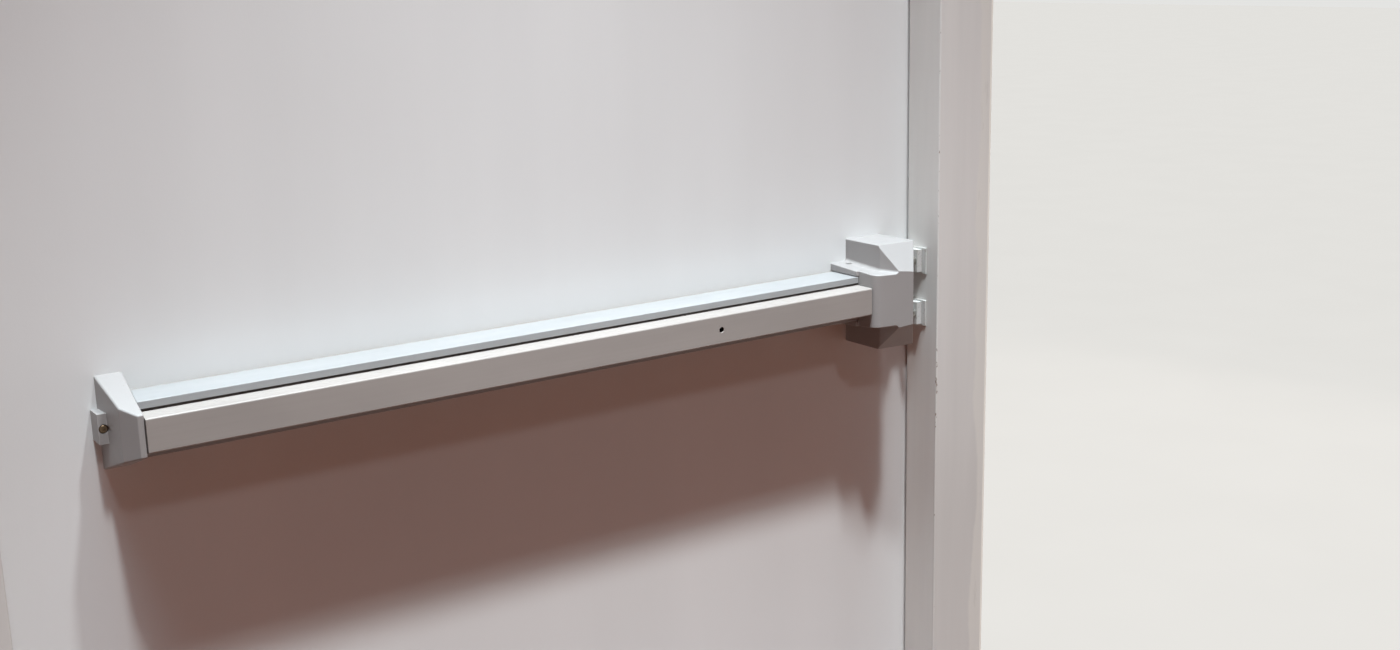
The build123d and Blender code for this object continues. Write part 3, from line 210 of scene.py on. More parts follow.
class DoorColours(bpy.types.PropertyGroup):
    """The colours of the door's finishes."""

    leaf: bpy.props.FloatVectorProperty(
        name="Leaf Paint",
        description="Grey-white enamel on the leaf",
        subtype="COLOR",
        size=4,
        min=0,
        max=1,
        default=linear("#DCDCDC"),
    )
    jamb: bpy.props.FloatVectorProperty(
        name="Frame Paint",
        description="Grey-white enamel on the pressed steel frame, a little warmer than the leaf",
        subtype="COLOR",
        size=4,
        min=0,
        max=1,
        default=linear("#D9D6D3"),
    )
    casting: bpy.props.FloatVectorProperty(
        name="Casting Paint",
        description="Silver-grey paint on the latch head and the end cap",
        subtype="COLOR",
        size=4,
        min=0,
        max=1,
        default=linear("#969291"),
    )
    bar: bpy.props.FloatVectorProperty(
        name="Bar Paint",
        description="Silver-grey paint on the push bar",
        subtype="COLOR",
        size=4,
        min=0,
        max=1,
        default=linear("#99928E"),
    )
    rail: bpy.props.FloatVectorProperty(
        name="Rail Paint",
        description="Silver-grey paint on the rail",
        subtype="COLOR",
        size=4,
        min=0,
        max=1,
        default=linear("#939394"),
    )
    inside: bpy.props.FloatVectorProperty(
        name="Inside Primer",
        description="Grey primer on the inside of the frame's folded sheet",
        subtype="COLOR",
        size=4,
        min=0,
        max=1,
        default=linear("#8E8D89"),
    )
    strike: bpy.props.FloatVectorProperty(
        name="Strike Paint",
        description="Silver paint on the strike",
        subtype="COLOR",
        size=4,
        min=0,
        max=1,
        default=linear("#C4C3C1"),
    )
    primer: bpy.props.FloatVectorProperty(
        name="Chipped Primer",
        description="Brown primer and old paint that shows in the chips",
        subtype="COLOR",
        size=4,
        min=0,
        max=1,
        default=linear("#6E5140"),
    )
    # Besides dirt, this colour is laid as painted shade on the leaf along the rail's upper edge, and where
    # the bar and rail meet the leaf
    grime_and_shade: bpy.props.FloatVectorProperty(
        name="Grime",
        description="Brown-grey dirt in corners and on handled places",
        subtype="COLOR",
        size=4,
        min=0,
        max=1,
        default=linear("#7A6E64"),
    )
    filler: bpy.props.FloatVectorProperty(
        name="Edge Filler",
        description="Pale filler smeared along the frame's outer edge",
        subtype="COLOR",
        size=4,
        min=0,
        max=1,
        default=linear("#E2DED6"),
    )
    steel: bpy.props.FloatVectorProperty(
        name="Steel",
        description="Bare steel of hinges, bolt and screws",
        subtype="COLOR",
        size=4,
        min=0,
        max=1,
        default=linear("#B9B6B0"),
    )
    tarnish: bpy.props.FloatVectorProperty(
        name="Tarnish",
        description="Browned steel of the end cap's screw",
        subtype="COLOR",
        size=4,
        min=0,
        max=1,
        default=linear("#75624F"),
    )
    zinc: bpy.props.FloatVectorProperty(
        name="Zinc",
        description="Zinc plating on the inside parts",
        subtype="COLOR",
        size=4,
        min=0,
        max=1,
        default=linear("#B4B8BC"),
    )
    rubber: bpy.props.FloatVectorProperty(
        name="Rubber",
        description="Grey rubber of the silencers",
        subtype="COLOR",
        size=4,
        min=0,
        max=1,
        default=linear("#77777A"),
    )
    paper: bpy.props.FloatVectorProperty(
        name="Core Paper",
        description="Brown paper of the leaf's honeycomb core",
        subtype="COLOR",
        size=4,
        min=0,
        max=1,
        default=linear("#B08A5E"),
    )
    floor: bpy.props.FloatVectorProperty(
        name="Floor",
        description="Pale floor",
        subtype="COLOR",
        size=4,
        min=0,
        max=1,
        default=linear("#CFCFCD"),
    )
    backdrop: bpy.props.FloatVectorProperty(
        name="Backdrop",
        description="Pale backdrop behind the door",
        subtype="COLOR",
        size=4,
        min=0,
        max=1,
        default=linear("#E4E4E2"),
    )


class DoorSizes(bpy.types.PropertyGroup):
    """The sizes of the door's finishes and of its stage."""

    peel: bpy.props.FloatProperty(
        name="Paint Peel",
        description="Size of the orange peel in the sprayed paint",
        default=0.0022,
        min=0.0005,
        max=0.02,
        unit="LENGTH",
    )
    grain: bpy.props.FloatProperty(
        name="Casting Grain",
        description="Size of the grain in the castings' paint",
        default=0.0009,
        min=0.0002,
        max=0.01,
        unit="LENGTH",
    )
    softness: bpy.props.FloatProperty(
        name="Edge Softness",
        description="Radius to which a casting's sharp edges are rounded over",
        default=0.0008,
        min=0.0001,
        max=0.003,
        unit="LENGTH",
    )
    key_strength: bpy.props.FloatProperty(
        name="Key Lamp",
        description="Strength of the far ceiling lamp",
        default=3.1,
        min=0,
        max=50,
    )
    near_strength: bpy.props.FloatProperty(
        name="Near Lamp",
        description="Power in watts of the downlight close above the bar",
        default=255.0,
        min=0,
        max=2000,
    )
    sky_strength: bpy.props.FloatProperty(
        name="Skylight",
        description="Strength of the wide light from above, which fills the upper faces",
        default=6.0,
        min=0,
        max=50,
    )
    low_strength: bpy.props.FloatProperty(
        name="Low Lamp",
        description="Strength of the weak lamp that casts the second, shorter shadow",
        default=0.2,
        min=0,
        max=50,
    )
    key_height: bpy.props.FloatProperty(
        name="Key Height",
        description="How steeply the ceiling lamp's light falls",
        default=math.radians(73.5),
        min=0,
        max=math.radians(90),
        subtype="ANGLE",
    )
    key_spread: bpy.props.FloatProperty(
        name="Key Spread",
        description="Angle over which the ceiling lamp is spread, which softens its shadows",
        default=math.radians(4.5),
        min=0,
        max=math.radians(60),
        subtype="ANGLE",
    )
    camera_place: bpy.props.FloatVectorProperty(
        name="Camera Place",
        description="Where the camera stands",
        subtype="TRANSLATION",
        unit="LENGTH",
        default=(-0.7469, -1.3684, 1.3990),
    )
    camera_turn: bpy.props.FloatVectorProperty(
        name="Camera Turn",
        description="The camera's turn to the right, its tilt down and its roll",
        subtype="EULER",
        unit="ROTATION",
        default=(math.radians(34.9606), math.radians(13.1459), math.radians(-1.2989)),
    )
    camera_lens: bpy.props.FloatProperty(
        name="Camera Lens",
        description="Focal length in millimetres on a 36 mm wide sensor",
        default=36 * 1590.67 / 1400,
        min=10,
        max=300,
    )


# Finishes


def leaf_paint(colours, sizes):
    """Sprayed enamel on sheet steel: half glossy, with soft blotches, orange peel and a few rubs."""
    material, tree = start_material("leaf_enamel")
    x, y, z = along(tree, "X"), along(tree, "Y"), along(tree, "Z")
    # blotches of the spray, and streaks of old cleaning that run down
    cloudy = patches(tree, 625, 3)
    streaks = patches(tree, (111, 111, 1111), 3)
    tone = add_node(tree, "Math", (cloudy, streaks), operation="ADD")
    tone = add_node(tree, "MapRange", (tone, 0.7, 1.3))
    # dirt gathers low down, where shoes and cleaning reach
    darkening_top, darkening_full = 0.42, 0.04
    low = add_node(tree, "MapRange", (z, darkening_top, darkening_full))
    specks = patches(tree, (16.7, 16.7, 6.67), 6, 0.7)
    dirt = where_all(tree, low, add_node(tree, "MapRange", (specks, 0.5, 0.8, 0, 0.3)))
    # thin dull rubs from bags and trolleys, longer than they are tall
    rubs = patches(tree, (147, 147, 23), 5, 0.65)
    rubs = add_node(tree, "MapRange", (rubs, 0.68, 0.76, 0, 0.16))
    # painted shade on the leaf along the rail's upper edge
    dust_and_painted_shade = rail_edge_shade(tree, x, y, z)
    paint = coats(
        tree,
        shaded(colours.leaf, 0.955),
        (tone, shaded(colours.leaf, 1.02)),
        (dirt, colours.grime_and_shade),
        # the band along the rail is painted shade
        (dust_and_painted_shade, colours.grime_and_shade),
        (rubs, shaded(colours.leaf, 0.8)),
    )
    gloss = add_node(tree, "MapRange", (patches(tree, 200, 4), 0.3, 0.7, 0.40, 0.50))
    dents = patches(tree, 286, 1)
    # real orange peel is about 1 mm; it is drawn coarser, or it would not show
    peel = patches(tree, sizes.peel * per_metre, 2, 0.6)
    normal = relief(tree, (dents, 0.25, 0.004), (peel, 0.10, 0.0004))
    finish_material(tree, Base_Color=paint, Roughness=gloss, IOR=1.5, Normal=normal)
    return material


def rail_edge_shade(tree, x, y, z):
    """Painted shade on the leaf along the rail's upper edge, fading out above that edge."""
    fade, side_fade, strength = 0.035, 0.02, 0.22
    middle, half = (rail_start.x + rail_end.x) / 2, (rail_end.x - rail_start.x) / 2
    above = add_node(tree, "MapRange", (z, rail_end.z + fade, rail_end.z))
    off = add_node(tree, "Math", (x, middle), operation="SUBTRACT")
    off = add_node(tree, "Math", (off,), operation="ABSOLUTE")
    beside = add_node(tree, "MapRange", (off, half + side_fade, half))
    front = add_node(tree, "Math", (y, face_y + past_face), operation="LESS_THAN")
    over = add_node(tree, "Math", (z, rail_end.z - 2 * past_face), operation="GREATER_THAN")
    dust_and_painted_shade = where_all(tree, above, beside, front, over)
    return where_all(tree, dust_and_painted_shade, dust_and_painted_shade, strength)


def folded_inside(tree, side, y, z):
    """1 inside the frame's folded section and 0 on the sheet's outer faces and edges."""
    tests = (
        ("rabbet_side", side, "GREATER_THAN", opening_x + past_face),
        ("rabbet_top", z, "GREATER_THAN", opening_z + past_face),
        ("stop_side", side, "GREATER_THAN", stop_x + past_face),
        ("stop_top", z, "GREATER_THAN", opening_z - stop_height + past_face),
        ("stop_back", y, "LESS_THAN", stop_y - past_face),
        ("front", y, "GREATER_THAN", room_y + past_face),
        ("back", y, "LESS_THAN", outside_y - past_face),
        ("lip", side, "LESS_THAN", outer_x - past_edge),
        ("top", z, "LESS_THAN", frame_z - past_edge),
    )
    mask = {}
    for name, value, test, limit in tests:
        mask[name] = add_node(tree, "Math", (value, limit), operation=test)
    rabbet = add_node(tree, "Math", (mask["rabbet_side"], mask["rabbet_top"]), operation="MAXIMUM")
    stop = add_node(tree, "Math", (mask["stop_side"], mask["stop_top"]), operation="MAXIMUM")
    stop = where_all(tree, stop, mask["stop_back"])
    hollow = add_node(tree, "Math", (rabbet, stop), operation="MAXIMUM")
    return where_all(tree, hollow, mask["front"], mask["back"], mask["lip"], mask["top"])


def arris_chips(tree, x, y, z, side):
    """Small ragged chips down the room side arris of the strike jamb, a few more just below the strike."""
    reach, full, ragged_above, ragged_full = 0.0045, 0.0008, 0.98, 1.03
    across = add_node(tree, "Math", (side, stop_x), operation="SUBTRACT")
    depth = add_node(tree, "Math", (y, room_y), operation="SUBTRACT")
    away = add_node(tree, "CombineXYZ", (across, depth, 0.0))
    away = add_node(tree, "VectorMath", (away,), "Value", operation="LENGTH")
    close = add_node(tree, "MapRange", (away, reach, full))
    close = where_all(tree, close, add_node(tree, "Math", (x, 0.0), operation="GREATER_THAN"))
    worst_z, worst_reach, worst_full = device_z - 0.11, 0.09, 0.02
    off = add_node(tree, "Math", (z, worst_z), operation="SUBTRACT")
    off = add_node(tree, "Math", (off,), operation="ABSOLUTE")
    by_strike = add_node(tree, "MapRange", (off, worst_reach, worst_full, 0.0, 0.10))
    ragged = patches(tree, (3.33, 3.33, 6.67), 4, 0.6)
    ragged = add_node(tree, "Math", (ragged, by_strike), operation="ADD")
    chips = add_node(tree, "Math", (where_all(tree, close, 0.34), ragged), operation="ADD")
    chips = where_all(tree, chips, add_node(tree, "MapRange", (close, 0.0, 0.15)))
    return add_node(tree, "MapRange", (chips, ragged_above, ragged_full))


def frame_paint(colours, sizes):
    """Brushed enamel on the pressed frame: faint runs, chips down the arris, filler at the outer edge."""
    material, tree = start_material("frame_enamel")
    x, y, z = along(tree, "X"), along(tree, "Y"), along(tree, "Z")
    side = add_node(tree, "Math", (x,), operation="ABSOLUTE")
    cloudy = patches(tree, 435, 3)
    runs = patches(tree, (16.7, 16.7, 333), 4)
    tone = add_node(tree, "Math", (cloudy, runs), operation="ADD")
    tone = add_node(tree, "MapRange", (tone, 0.7, 1.3))
    # darker lower down on the face, with a wavering upper border
    darkening_top, darkening_full, darkening_waver = 1.25, 0.85, 0.3
    low = add_node(tree, "Math", (z, where_all(tree, cloudy, darkening_waver)), operation="ADD")
    low = add_node(tree, "MapRange", (low, darkening_top, darkening_full, 0, 0.18))
    low = where_all(tree, low, add_node(tree, "Math", (y, room_y + 3 * past_face), operation="LESS_THAN"))
    # filler smeared along the outer edge: a wavering border, stains in it and a pale bead at the end
    smear_x, smear_blend, smear_waver = outer_x - 0.021, 0.004, 0.006
    bead_x, bead_blend = outer_x - 0.0042, 0.001
    waver = add_node(tree, "MapRange", (patches(tree, 111, 4), 0.3, 0.7, -smear_waver, smear_waver))
    smear = add_node(tree, "Math", (side, waver), operation="ADD")
    smear = add_node(tree, "MapRange", (smear, smear_x, smear_x + smear_blend, 0, 0.45))
    stains = add_node(tree, "MapRange", (patches(tree, (20.8, 20.8, 125), 5, 0.7), 0.56, 0.72, 0, 0.55))
    bead = add_node(tree, "MapRange", (side, bead_x, bead_x + bead_blend, 0, 0.95))
    chips = arris_chips(tree, x, y, z, side)
    # bare primer on the inside of the folded sheet
    inside = folded_inside(tree, side, y, z)
    primed = coats(tree, shaded(colours.inside, 0.85), (cloudy, shaded(colours.inside, 1.1)))
    paint = coats(
        tree,
        shaded(colours.jamb, 0.94),
        (tone, shaded(colours.jamb, 1.02)),
        (low, colours.grime_and_shade),
        (smear, colours.filler),
        (where_all(tree, smear, stains), colours.grime_and_shade),
        (bead, shaded(colours.filler, 1.22)),
        (chips, colours.primer),
        (inside, primed),
    )
    gloss = add_node(tree, "MapRange", (patches(tree, 167, 4), 0.3, 0.7, 0.42, 0.52))
    gloss = add_node(tree, "Math", (gloss, where_all(tree, inside, 0.25)), operation="ADD")
    brushed = patches(tree, (1.11, 1.11, 83.3), 2)
    sunk = add_node(tree, "Math", (brushed, chips), operation="SUBTRACT")
    # real orange peel is about 1 mm; it is drawn coarser, or it would not show
    peel = patches(tree, sizes.peel * per_metre, 2, 0.6)
    normal = relief(tree, (sunk, 0.2, 0.0002), (peel, 0.12, 0.0004))
    finish_material(tree, Base_Color=paint, Roughness=gloss, IOR=1.5, Normal=normal)
    return material


def casting_paint(colours, sizes):
    """Stove paint over a casting: a sandy grain, paler on its edges from rubbing wear and as a painted
    highlight, with specks of dirt in its tone.
    """
    material, tree = start_material("casting_paint")
    cloudy = patches(tree, 45.5, 4)
    # the edges are painted paler: rubbing wear, and a painted highlight along them
    rubbed_and_highlit = add_node(tree, "MapRange", (patches(tree, 6.25, 4), 0.38, 0.62, 0, 0.75))
    rubbed_and_highlit = where_all(tree, sharp_edges(tree, 0.0016), rubbed_and_highlit)
    specks = add_node(tree, "MapRange", (patches(tree, 2.38, 3, 0.7), 0.70, 0.74, 0, 0.5))
    paint = coats(
        tree,
        shaded(colours.casting, 0.94),
        (cloudy, shaded(colours.casting, 1.05)),
        (rubbed_and_highlit, shaded(colours.casting, 1.6)),
        (specks, colours.grime_and_shade),
    )
    # the sand of the mould is about 0.3 mm; the grain is drawn coarser, or it would not show
    grain = patches(tree, sizes.grain * per_metre, 3, 0.6)
    gloss = add_node(tree, "MapRange", (patches(tree, 25, 3), 0.3, 0.7, 0.38, 0.50))
    normal = relief(tree, (grain, 0.22, 0.00025))
    finish_material(tree, Base_Color=paint, Roughness=gloss, IOR=1.5, Normal=normal)
    return material


def bar_paint(name, colours, colour):
    """Silver paint on an extrusion: draw lines, upper edges paler from hand polish and as a painted
    highlight, and painted shade where it meets the leaf.
    """
    material, tree = start_material(name)
    y, z = along(tree, "Y"), along(tree, "Z")
    cloudy = patches(tree, (111, 37, 37), 4)
    # draw lines are finer than 1 mm; they are drawn coarser, or they would not show
    lines = patches(tree, (333, 2.38, 2.38), 3)
    tone = add_node(tree, "Math", (cloudy, where_all(tree, lines, 0.35)), operation="ADD")
    tone = add_node(tree, "MapRange", (tone, 0.45, 0.9))
    # the upper edges are painted paler: hand polish, and a painted highlight where light falls from above
    rubbed_and_highlit = add_node(tree, "MapRange", (patches(tree, (16.7, 4.17, 4.17), 4), 0.40, 0.62, 0, 0.45))
    upper = add_node(tree, "Math", (z, device_z), operation="GREATER_THAN")
    rubbed_and_highlit = where_all(tree, sharp_edges(tree, 0.0012), rubbed_and_highlit, upper)
    # painted shade where the extrusion meets the leaf, made patchy
    corner_shade_depth = 0.004
    corner = add_node(tree, "MapRange", (y, face_y - corner_shade_depth, face_y - past_face))
    patchy = add_node(tree, "MapRange", (patches(tree, 28.6, 5, 0.7), 0.3, 0.6, 0.35, 0.85))
    paint = coats(
        tree,
        shaded(colour, 0.94),
        (tone, shaded(colour, 1.04)),
        (rubbed_and_highlit, shaded(colour, 1.5)),
        # painted shade in the joint with the leaf
        (where_all(tree, corner, patchy), colours.grime_and_shade),
    )
    gloss = add_node(tree, "MapRange", (patches(tree, (71.4, 35.7, 35.7), 5), 0.3, 0.7, 0.34, 0.48))
    fine = patches(tree, 1.11, 2, 0.6)
    normal = relief(tree, (lines, 0.10, 0.0002), (fine, 0.08, 0.0002))
    finish_material(tree, Base_Color=paint, Roughness=gloss, IOR=1.5, Normal=normal)
    return material


def strike_paint(colours, sizes):
    """Paint on the keeper, worn to bright metal where the bolt rides over its edges."""
    material, tree = start_material("strike_paint")
    worn = add_node(tree, "MapRange", (patches(tree, 7.69, 5, 0.6), 0.35, 0.58))
    worn = where_all(tree, sharp_edges(tree, 0.0022), worn)
    cloudy = patches(tree, 16.7, 4)
    dark = add_node(tree, "MapRange", (patches(tree, 5.26, 4, 0.65), 0.60, 0.72, 0, 0.6))
    paint = coats(
        tree,
        shaded(colours.strike, 0.90),
        (cloudy, shaded(colours.strike, 1.06)),
        (worn, colours.steel),
        (dark, colours.grime_and_shade),
    )
    gloss = add_node(tree, "MapRange", (worn, 0, 1, 0.42, 0.26))
    normal = relief(tree, (patches(tree, 1.43, 3), 0.2, 0.0003))
    finish_material(tree, Base_Color=paint, Roughness=gloss, Metallic=worn, Normal=normal)
    return material


def brushed_steel(name, colour, lines_size, rough):
    """Drawn or brushed steel: fine lines along one direction, cloudy polish and a few dull spots."""
    material, tree = start_material(name)
    lines = patches(tree, lines_size, 3, 0.6)
    cloudy = patches(tree, 33.3, 4)
    tone = add_node(tree, "Math", (lines, cloudy), operation="ADD")
    spots = add_node(tree, "MapRange", (patches(tree, 4.17, 5, 0.7), 0.66, 0.76, 0, 0.5))
    metal = coats(
        tree,
        shaded(colour, 0.82),
        (where_all(tree, tone, 0.5), shaded(colour, 1.08)),
        (spots, shaded(colour, 0.5)),
    )
    gloss = add_node(tree, "MapRange", (cloudy, 0.3, 0.7, rough - 0.06, rough + 0.08))
    normal = relief(tree, (lines, 0.12, 0.0002))
    finish_material(tree, Base_Color=metal, Roughness=gloss, Metallic=1.0, Normal=normal)
    return material


def zinc_plate(colours, sizes):
    """Zinc plating: small crystal patches that differ a little in tone and gloss."""
    material, tree = start_material("zinc_plating")
    crystals = add_node(tree, "TexVoronoi", {"Vector": stretched(tree, 6.25), "Scale": 1.0}, "Color")
    crystal = add_node(tree, "SeparateXYZ", {"Vector": crystals}, "X")
    dulled = add_node(tree, "MapRange", (patches(tree, 41.7, 5, 0.6), 0.5, 0.75, 0, 0.4))
    metal = coats(
        tree,
        shaded(colours.zinc, 0.86),
        (crystal, shaded(colours.zinc, 1.06)),
        (dulled, shaded(colours.zinc, 0.55)),
    )
    gloss = add_node(tree, "MapRange", (crystal, 0, 1, 0.34, 0.46))
    finish_material(tree, Base_Color=metal, Roughness=gloss, Metallic=1.0)
    return material


def moulded_rubber(colours, sizes):
    """Moulded rubber: dull, with a fine pitted skin and a pale dusting."""
    material, tree = start_material("moulded_rubber")
    dust_and_painted_shade = add_node(tree, "MapRange", (patches(tree, 5.56, 4), 0.45, 0.75, 0, 0.5))
    skin = coats(tree, colours.rubber, (dust_and_painted_shade, shaded(colours.rubber, 1.5)))
    normal = relief(tree, (patches(tree, 0.4, 2), 0.25, 0.0002))
    finish_material(tree, Base_Color=skin, Roughness=0.82, IOR=1.5, Normal=normal)
    return material


def core_paper(colours, sizes):
    """Kraft paper core: fibres, and the edges of the honeycomb's cells, with painted shade in the cells'
    hollows.
    """
    material, tree = start_material("kraft_paper_core")
    # the cells are the same all the way through the leaf, so they are stretched along Y
    values = {"Vector": stretched(tree, (16.7, 16700, 16.7)), "Scale": 1.0}
    to_edge = add_node(tree, "TexVoronoi", values, "Distance", feature="DISTANCE_TO_EDGE")
    # 1 in a cell's hollow, away from its paper edges; the hollows are painted dark as the shade inside the
    # cells
    open_cells = add_node(tree, "MapRange", (to_edge, 0.04, 0.10))
    fibres = patches(tree, (2.5, 2.5, 25), 4)
    paper = coats(
        tree,
        shaded(colours.paper, 0.82),
        (fibres, shaded(colours.paper, 1.1)),
        (open_cells, shaded(colours.paper, 0.45)),
    )
    normal = relief(tree, (open_cells, 0.5, 0.002))
    finish_material(tree, Base_Color=paper, Roughness=0.9, IOR=1.5, Normal=normal)
    return material


def finish_of(key):
    """The finish with that key, made once."""
    colours, sizes = bpy.context.scene.door_colours, bpy.context.scene.door_sizes
    worn_screw, wire = shaded(colours.steel, 0.9), shaded(colours.steel, 0.75)
    makers = {
        "leaf": lambda: leaf_paint(colours, sizes),
        "frame": lambda: frame_paint(colours, sizes),
        "casting": lambda: casting_paint(colours, sizes),
        "bar": lambda: bar_paint("bar_paint", colours, colours.bar),
        "rail": lambda: bar_paint("rail_paint", colours, colours.rail),
        "strike": lambda: strike_paint(colours, sizes),
        "hinge": lambda: brushed_steel("brushed_hinge_steel", colours.steel, (1.43, 1.43, 71.4), 0.34),
        "bolt": lambda: brushed_steel("ground_bolt_steel", colours.steel, (71.4, 1.43, 1.43), 0.26),
        "screw": lambda: brushed_steel("turned_screw_steel", worn_screw, 2, 0.32),
        "aged": lambda: brushed_steel("tarnished_screw_steel", colours.tarnish, 2, 0.36),
        "spring": lambda: brushed_steel("spring_wire", wire, 3.33, 0.30),
        "zinc": lambda: zinc_plate(colours, sizes),
        "rubber": lambda: moulded_rubber(colours, sizes),
        "paper": lambda: core_paper(colours, sizes),
    }
    if key not in finishes:
        finishes[key] = makers[key]()
    return finishes[key]


finishes = {}


def give_finish(piece, key):
    """Puts one finish on a piece in place of what it had."""
    piece.data.materials.clear()
    piece.data.materials.append(finish_of(key))


def dress(key, *nodes):
    """Puts a finish on CAD nodes whose shape is right already."""
    for name in nodes:
        give_finish(frame["nodes"][name], key)


# Shaping


def only(piece):
    """Selects one piece alone and makes it the active one."""
    bpy.ops.object.select_all(action="DESELECT")
    piece.select_set(True)
    bpy.context.view_layer.objects.active = piece


def copy_of(node, name):
    """A copy of a CAD node with its loose triangles merged into whole faces."""
    piece = frame["nodes"][node].copy()
    piece.data = piece.data.copy()
    piece.name = name
    piece.data.name = name
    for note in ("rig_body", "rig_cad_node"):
        del piece[note]
    piece.parent = None
    bpy.context.scene.collection.objects.link(piece)
    only(piece)
    bpy.ops.object.mode_set(mode="EDIT")
    bpy.ops.mesh.select_all(action="SELECT")
    bpy.ops.mesh.remove_doubles(threshold=0.00001)
    bpy.ops.mesh.dissolve_limited(angle_limit=math.radians(0.3))
    bpy.ops.object.mode_set(mode="OBJECT")
    return piece


def rounded_over(piece, width, steps=3, angle=30):
    """Rounds a piece's sharp edges over with a bevel."""
    bevel = piece.modifiers.new("rounding", "BEVEL")
    bevel.width = width
    bevel.segments = steps
    bevel.limit_method = "ANGLE"
    bevel.angle_limit = math.radians(angle)
    bevel.harden_normals = False
    only(piece)
    bpy.ops.object.modifier_apply(modifier=bevel.name)


def smooth(piece, angle=32):
    """Shades a piece smooth across its shallow edges, and keeps its large flats flat."""
    only(piece)
    bpy.ops.object.shade_smooth_by_angle(angle=math.radians(angle))
    even = piece.modifiers.new("even_shading", "WEIGHTED_NORMAL")
    even.keep_sharp = True
    even.weight = 50
    bpy.ops.object.modifier_apply(modifier=even.name)


def stands_for(piece, node, body, key):
    """Hands a finished piece over: its body, the node that it stands for and its finish."""
    give_finish(piece, key)
    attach(piece, body)
    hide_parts(node)


# Operators: one for each piece or group of like pieces, and one for the stage


class DressLeaf(bpy.types.Operator):
    """Paints the leaf's skins and channels and finishes what is inside the leaf"""

    bl_idname = "exit_door.leaf"
    bl_label = "Leaf"

    def execute(self, context):
        dress("leaf", "room_skin", "outer_skin", "top_channel", "bottom_channel")
        dress("zinc", "device_plates", "leaf_hinge_plates")
        dress("paper", "leaf_core")
        return {"FINISHED"}


class DressFrame(bpy.types.Operator):
    """Paints the pressed steel frame and finishes its anchors, straps and silencers"""

    bl_idname = "exit_door.frame"
    bl_label = "Frame"

    def execute(self, context):
        dress("frame", "strike_jamb", "hinge_jamb", "frame_head")
        dress("zinc", "floor_anchor_hinge", "floor_anchor_strike", "wall_straps")
        dress("zinc", "jamb_hinge_plates", "strike_plate")
        dress("rubber", "silencers")
        return {"FINISHED"}


class DressHinges(bpy.types.Operator):
    """Finishes the butt hinges, their pins and their screws"""

    bl_idname = "exit_door.hinges"
    bl_label = "Hinges"

    def execute(self, context):
        for place_name in ("top", "middle", "bottom"):
            dress("hinge", f"hinge_{place_name}_jamb_flap", f"hinge_{place_name}_leaf_flap")
        dress("hinge", "hinge_pins")
        dress("screw", "jamb_hinge_screws", "leaf_hinge_screws")
        return {"FINISHED"}


class DressBar(bpy.types.Operator):
    """Finishes the push bar and the rail that it slides in"""

    bl_idname = "exit_door.bar"
    bl_label = "Push Bar and Rail"

    def execute(self, context):
        for node, body, key in (("push_bar", "bar", "bar"), ("rail", "leaf", "rail")):
            piece = copy_of(node, f"{node}_painted")
            smooth(piece)
            stands_for(piece, node, body, key)
        dress("bar", "bar_end_plugs")
        return {"FINISHED"}


class DressHead(bpy.types.Operator):
    """Finishes the latch head's cast cover and its screws"""

    bl_idname = "exit_door.head"
    bl_label = "Latch Head"

    def execute(self, context):
        piece = copy_of("head_cover", "head_cover_painted")
        smooth(piece)
        stands_for(piece, "head_cover", "leaf", "casting")
        dress("screw", "cover_screws")
        return {"FINISHED"}


class DressCap(bpy.types.Operator):
    """Finishes the cast end cap and its screw"""

    bl_idname = "exit_door.cap"
    bl_label = "End Cap"

    def execute(self, context):
        piece = copy_of("end_cap", "end_cap_painted")
        smooth(piece)
        stands_for(piece, "end_cap", "leaf", "casting")
        dress("aged", "end_cap_screw")
        return {"FINISHED"}


class DressStrike(bpy.types.Operator):
    """Finishes the strike, its shim and its screws"""

    bl_idname = "exit_door.strike"
    bl_label = "Strike"

    def execute(self, context):
        sizes = context.scene.door_sizes
        for node in ("strike", "strike_shim"):
            piece = copy_of(node, f"{node}_painted")
            rounded_over(piece, sizes.softness if node == "strike" else sizes.softness / 2)
            smooth(piece)
            stands_for(piece, node, "frame", "strike")
        dress("screw", "strike_screws")
        return {"FINISHED"}


class DressWorks(bpy.types.Operator):
    """Finishes the latch, the cranks, the rod and the dogging screw inside the device"""

    bl_idname = "exit_door.works"
    bl_label = "Inside Works"

    def execute(self, context):
        dress("zinc", "latch_guide", "latch_chassis", "end_bracket", "bar_brackets", "dog_plate")
        dress("zinc", "dog_base", "crank_bases", "bell_crank_left", "bell_crank_right", "control_rod")
        dress("bolt", "latch_bolt", "crank_pins", "dog_screw")
        dress("screw", "latch_mounting_screws", "bracket_mounting_screws")
        dress("spring", "latch_spring", "return_springs")
        return {"FINISHED"}


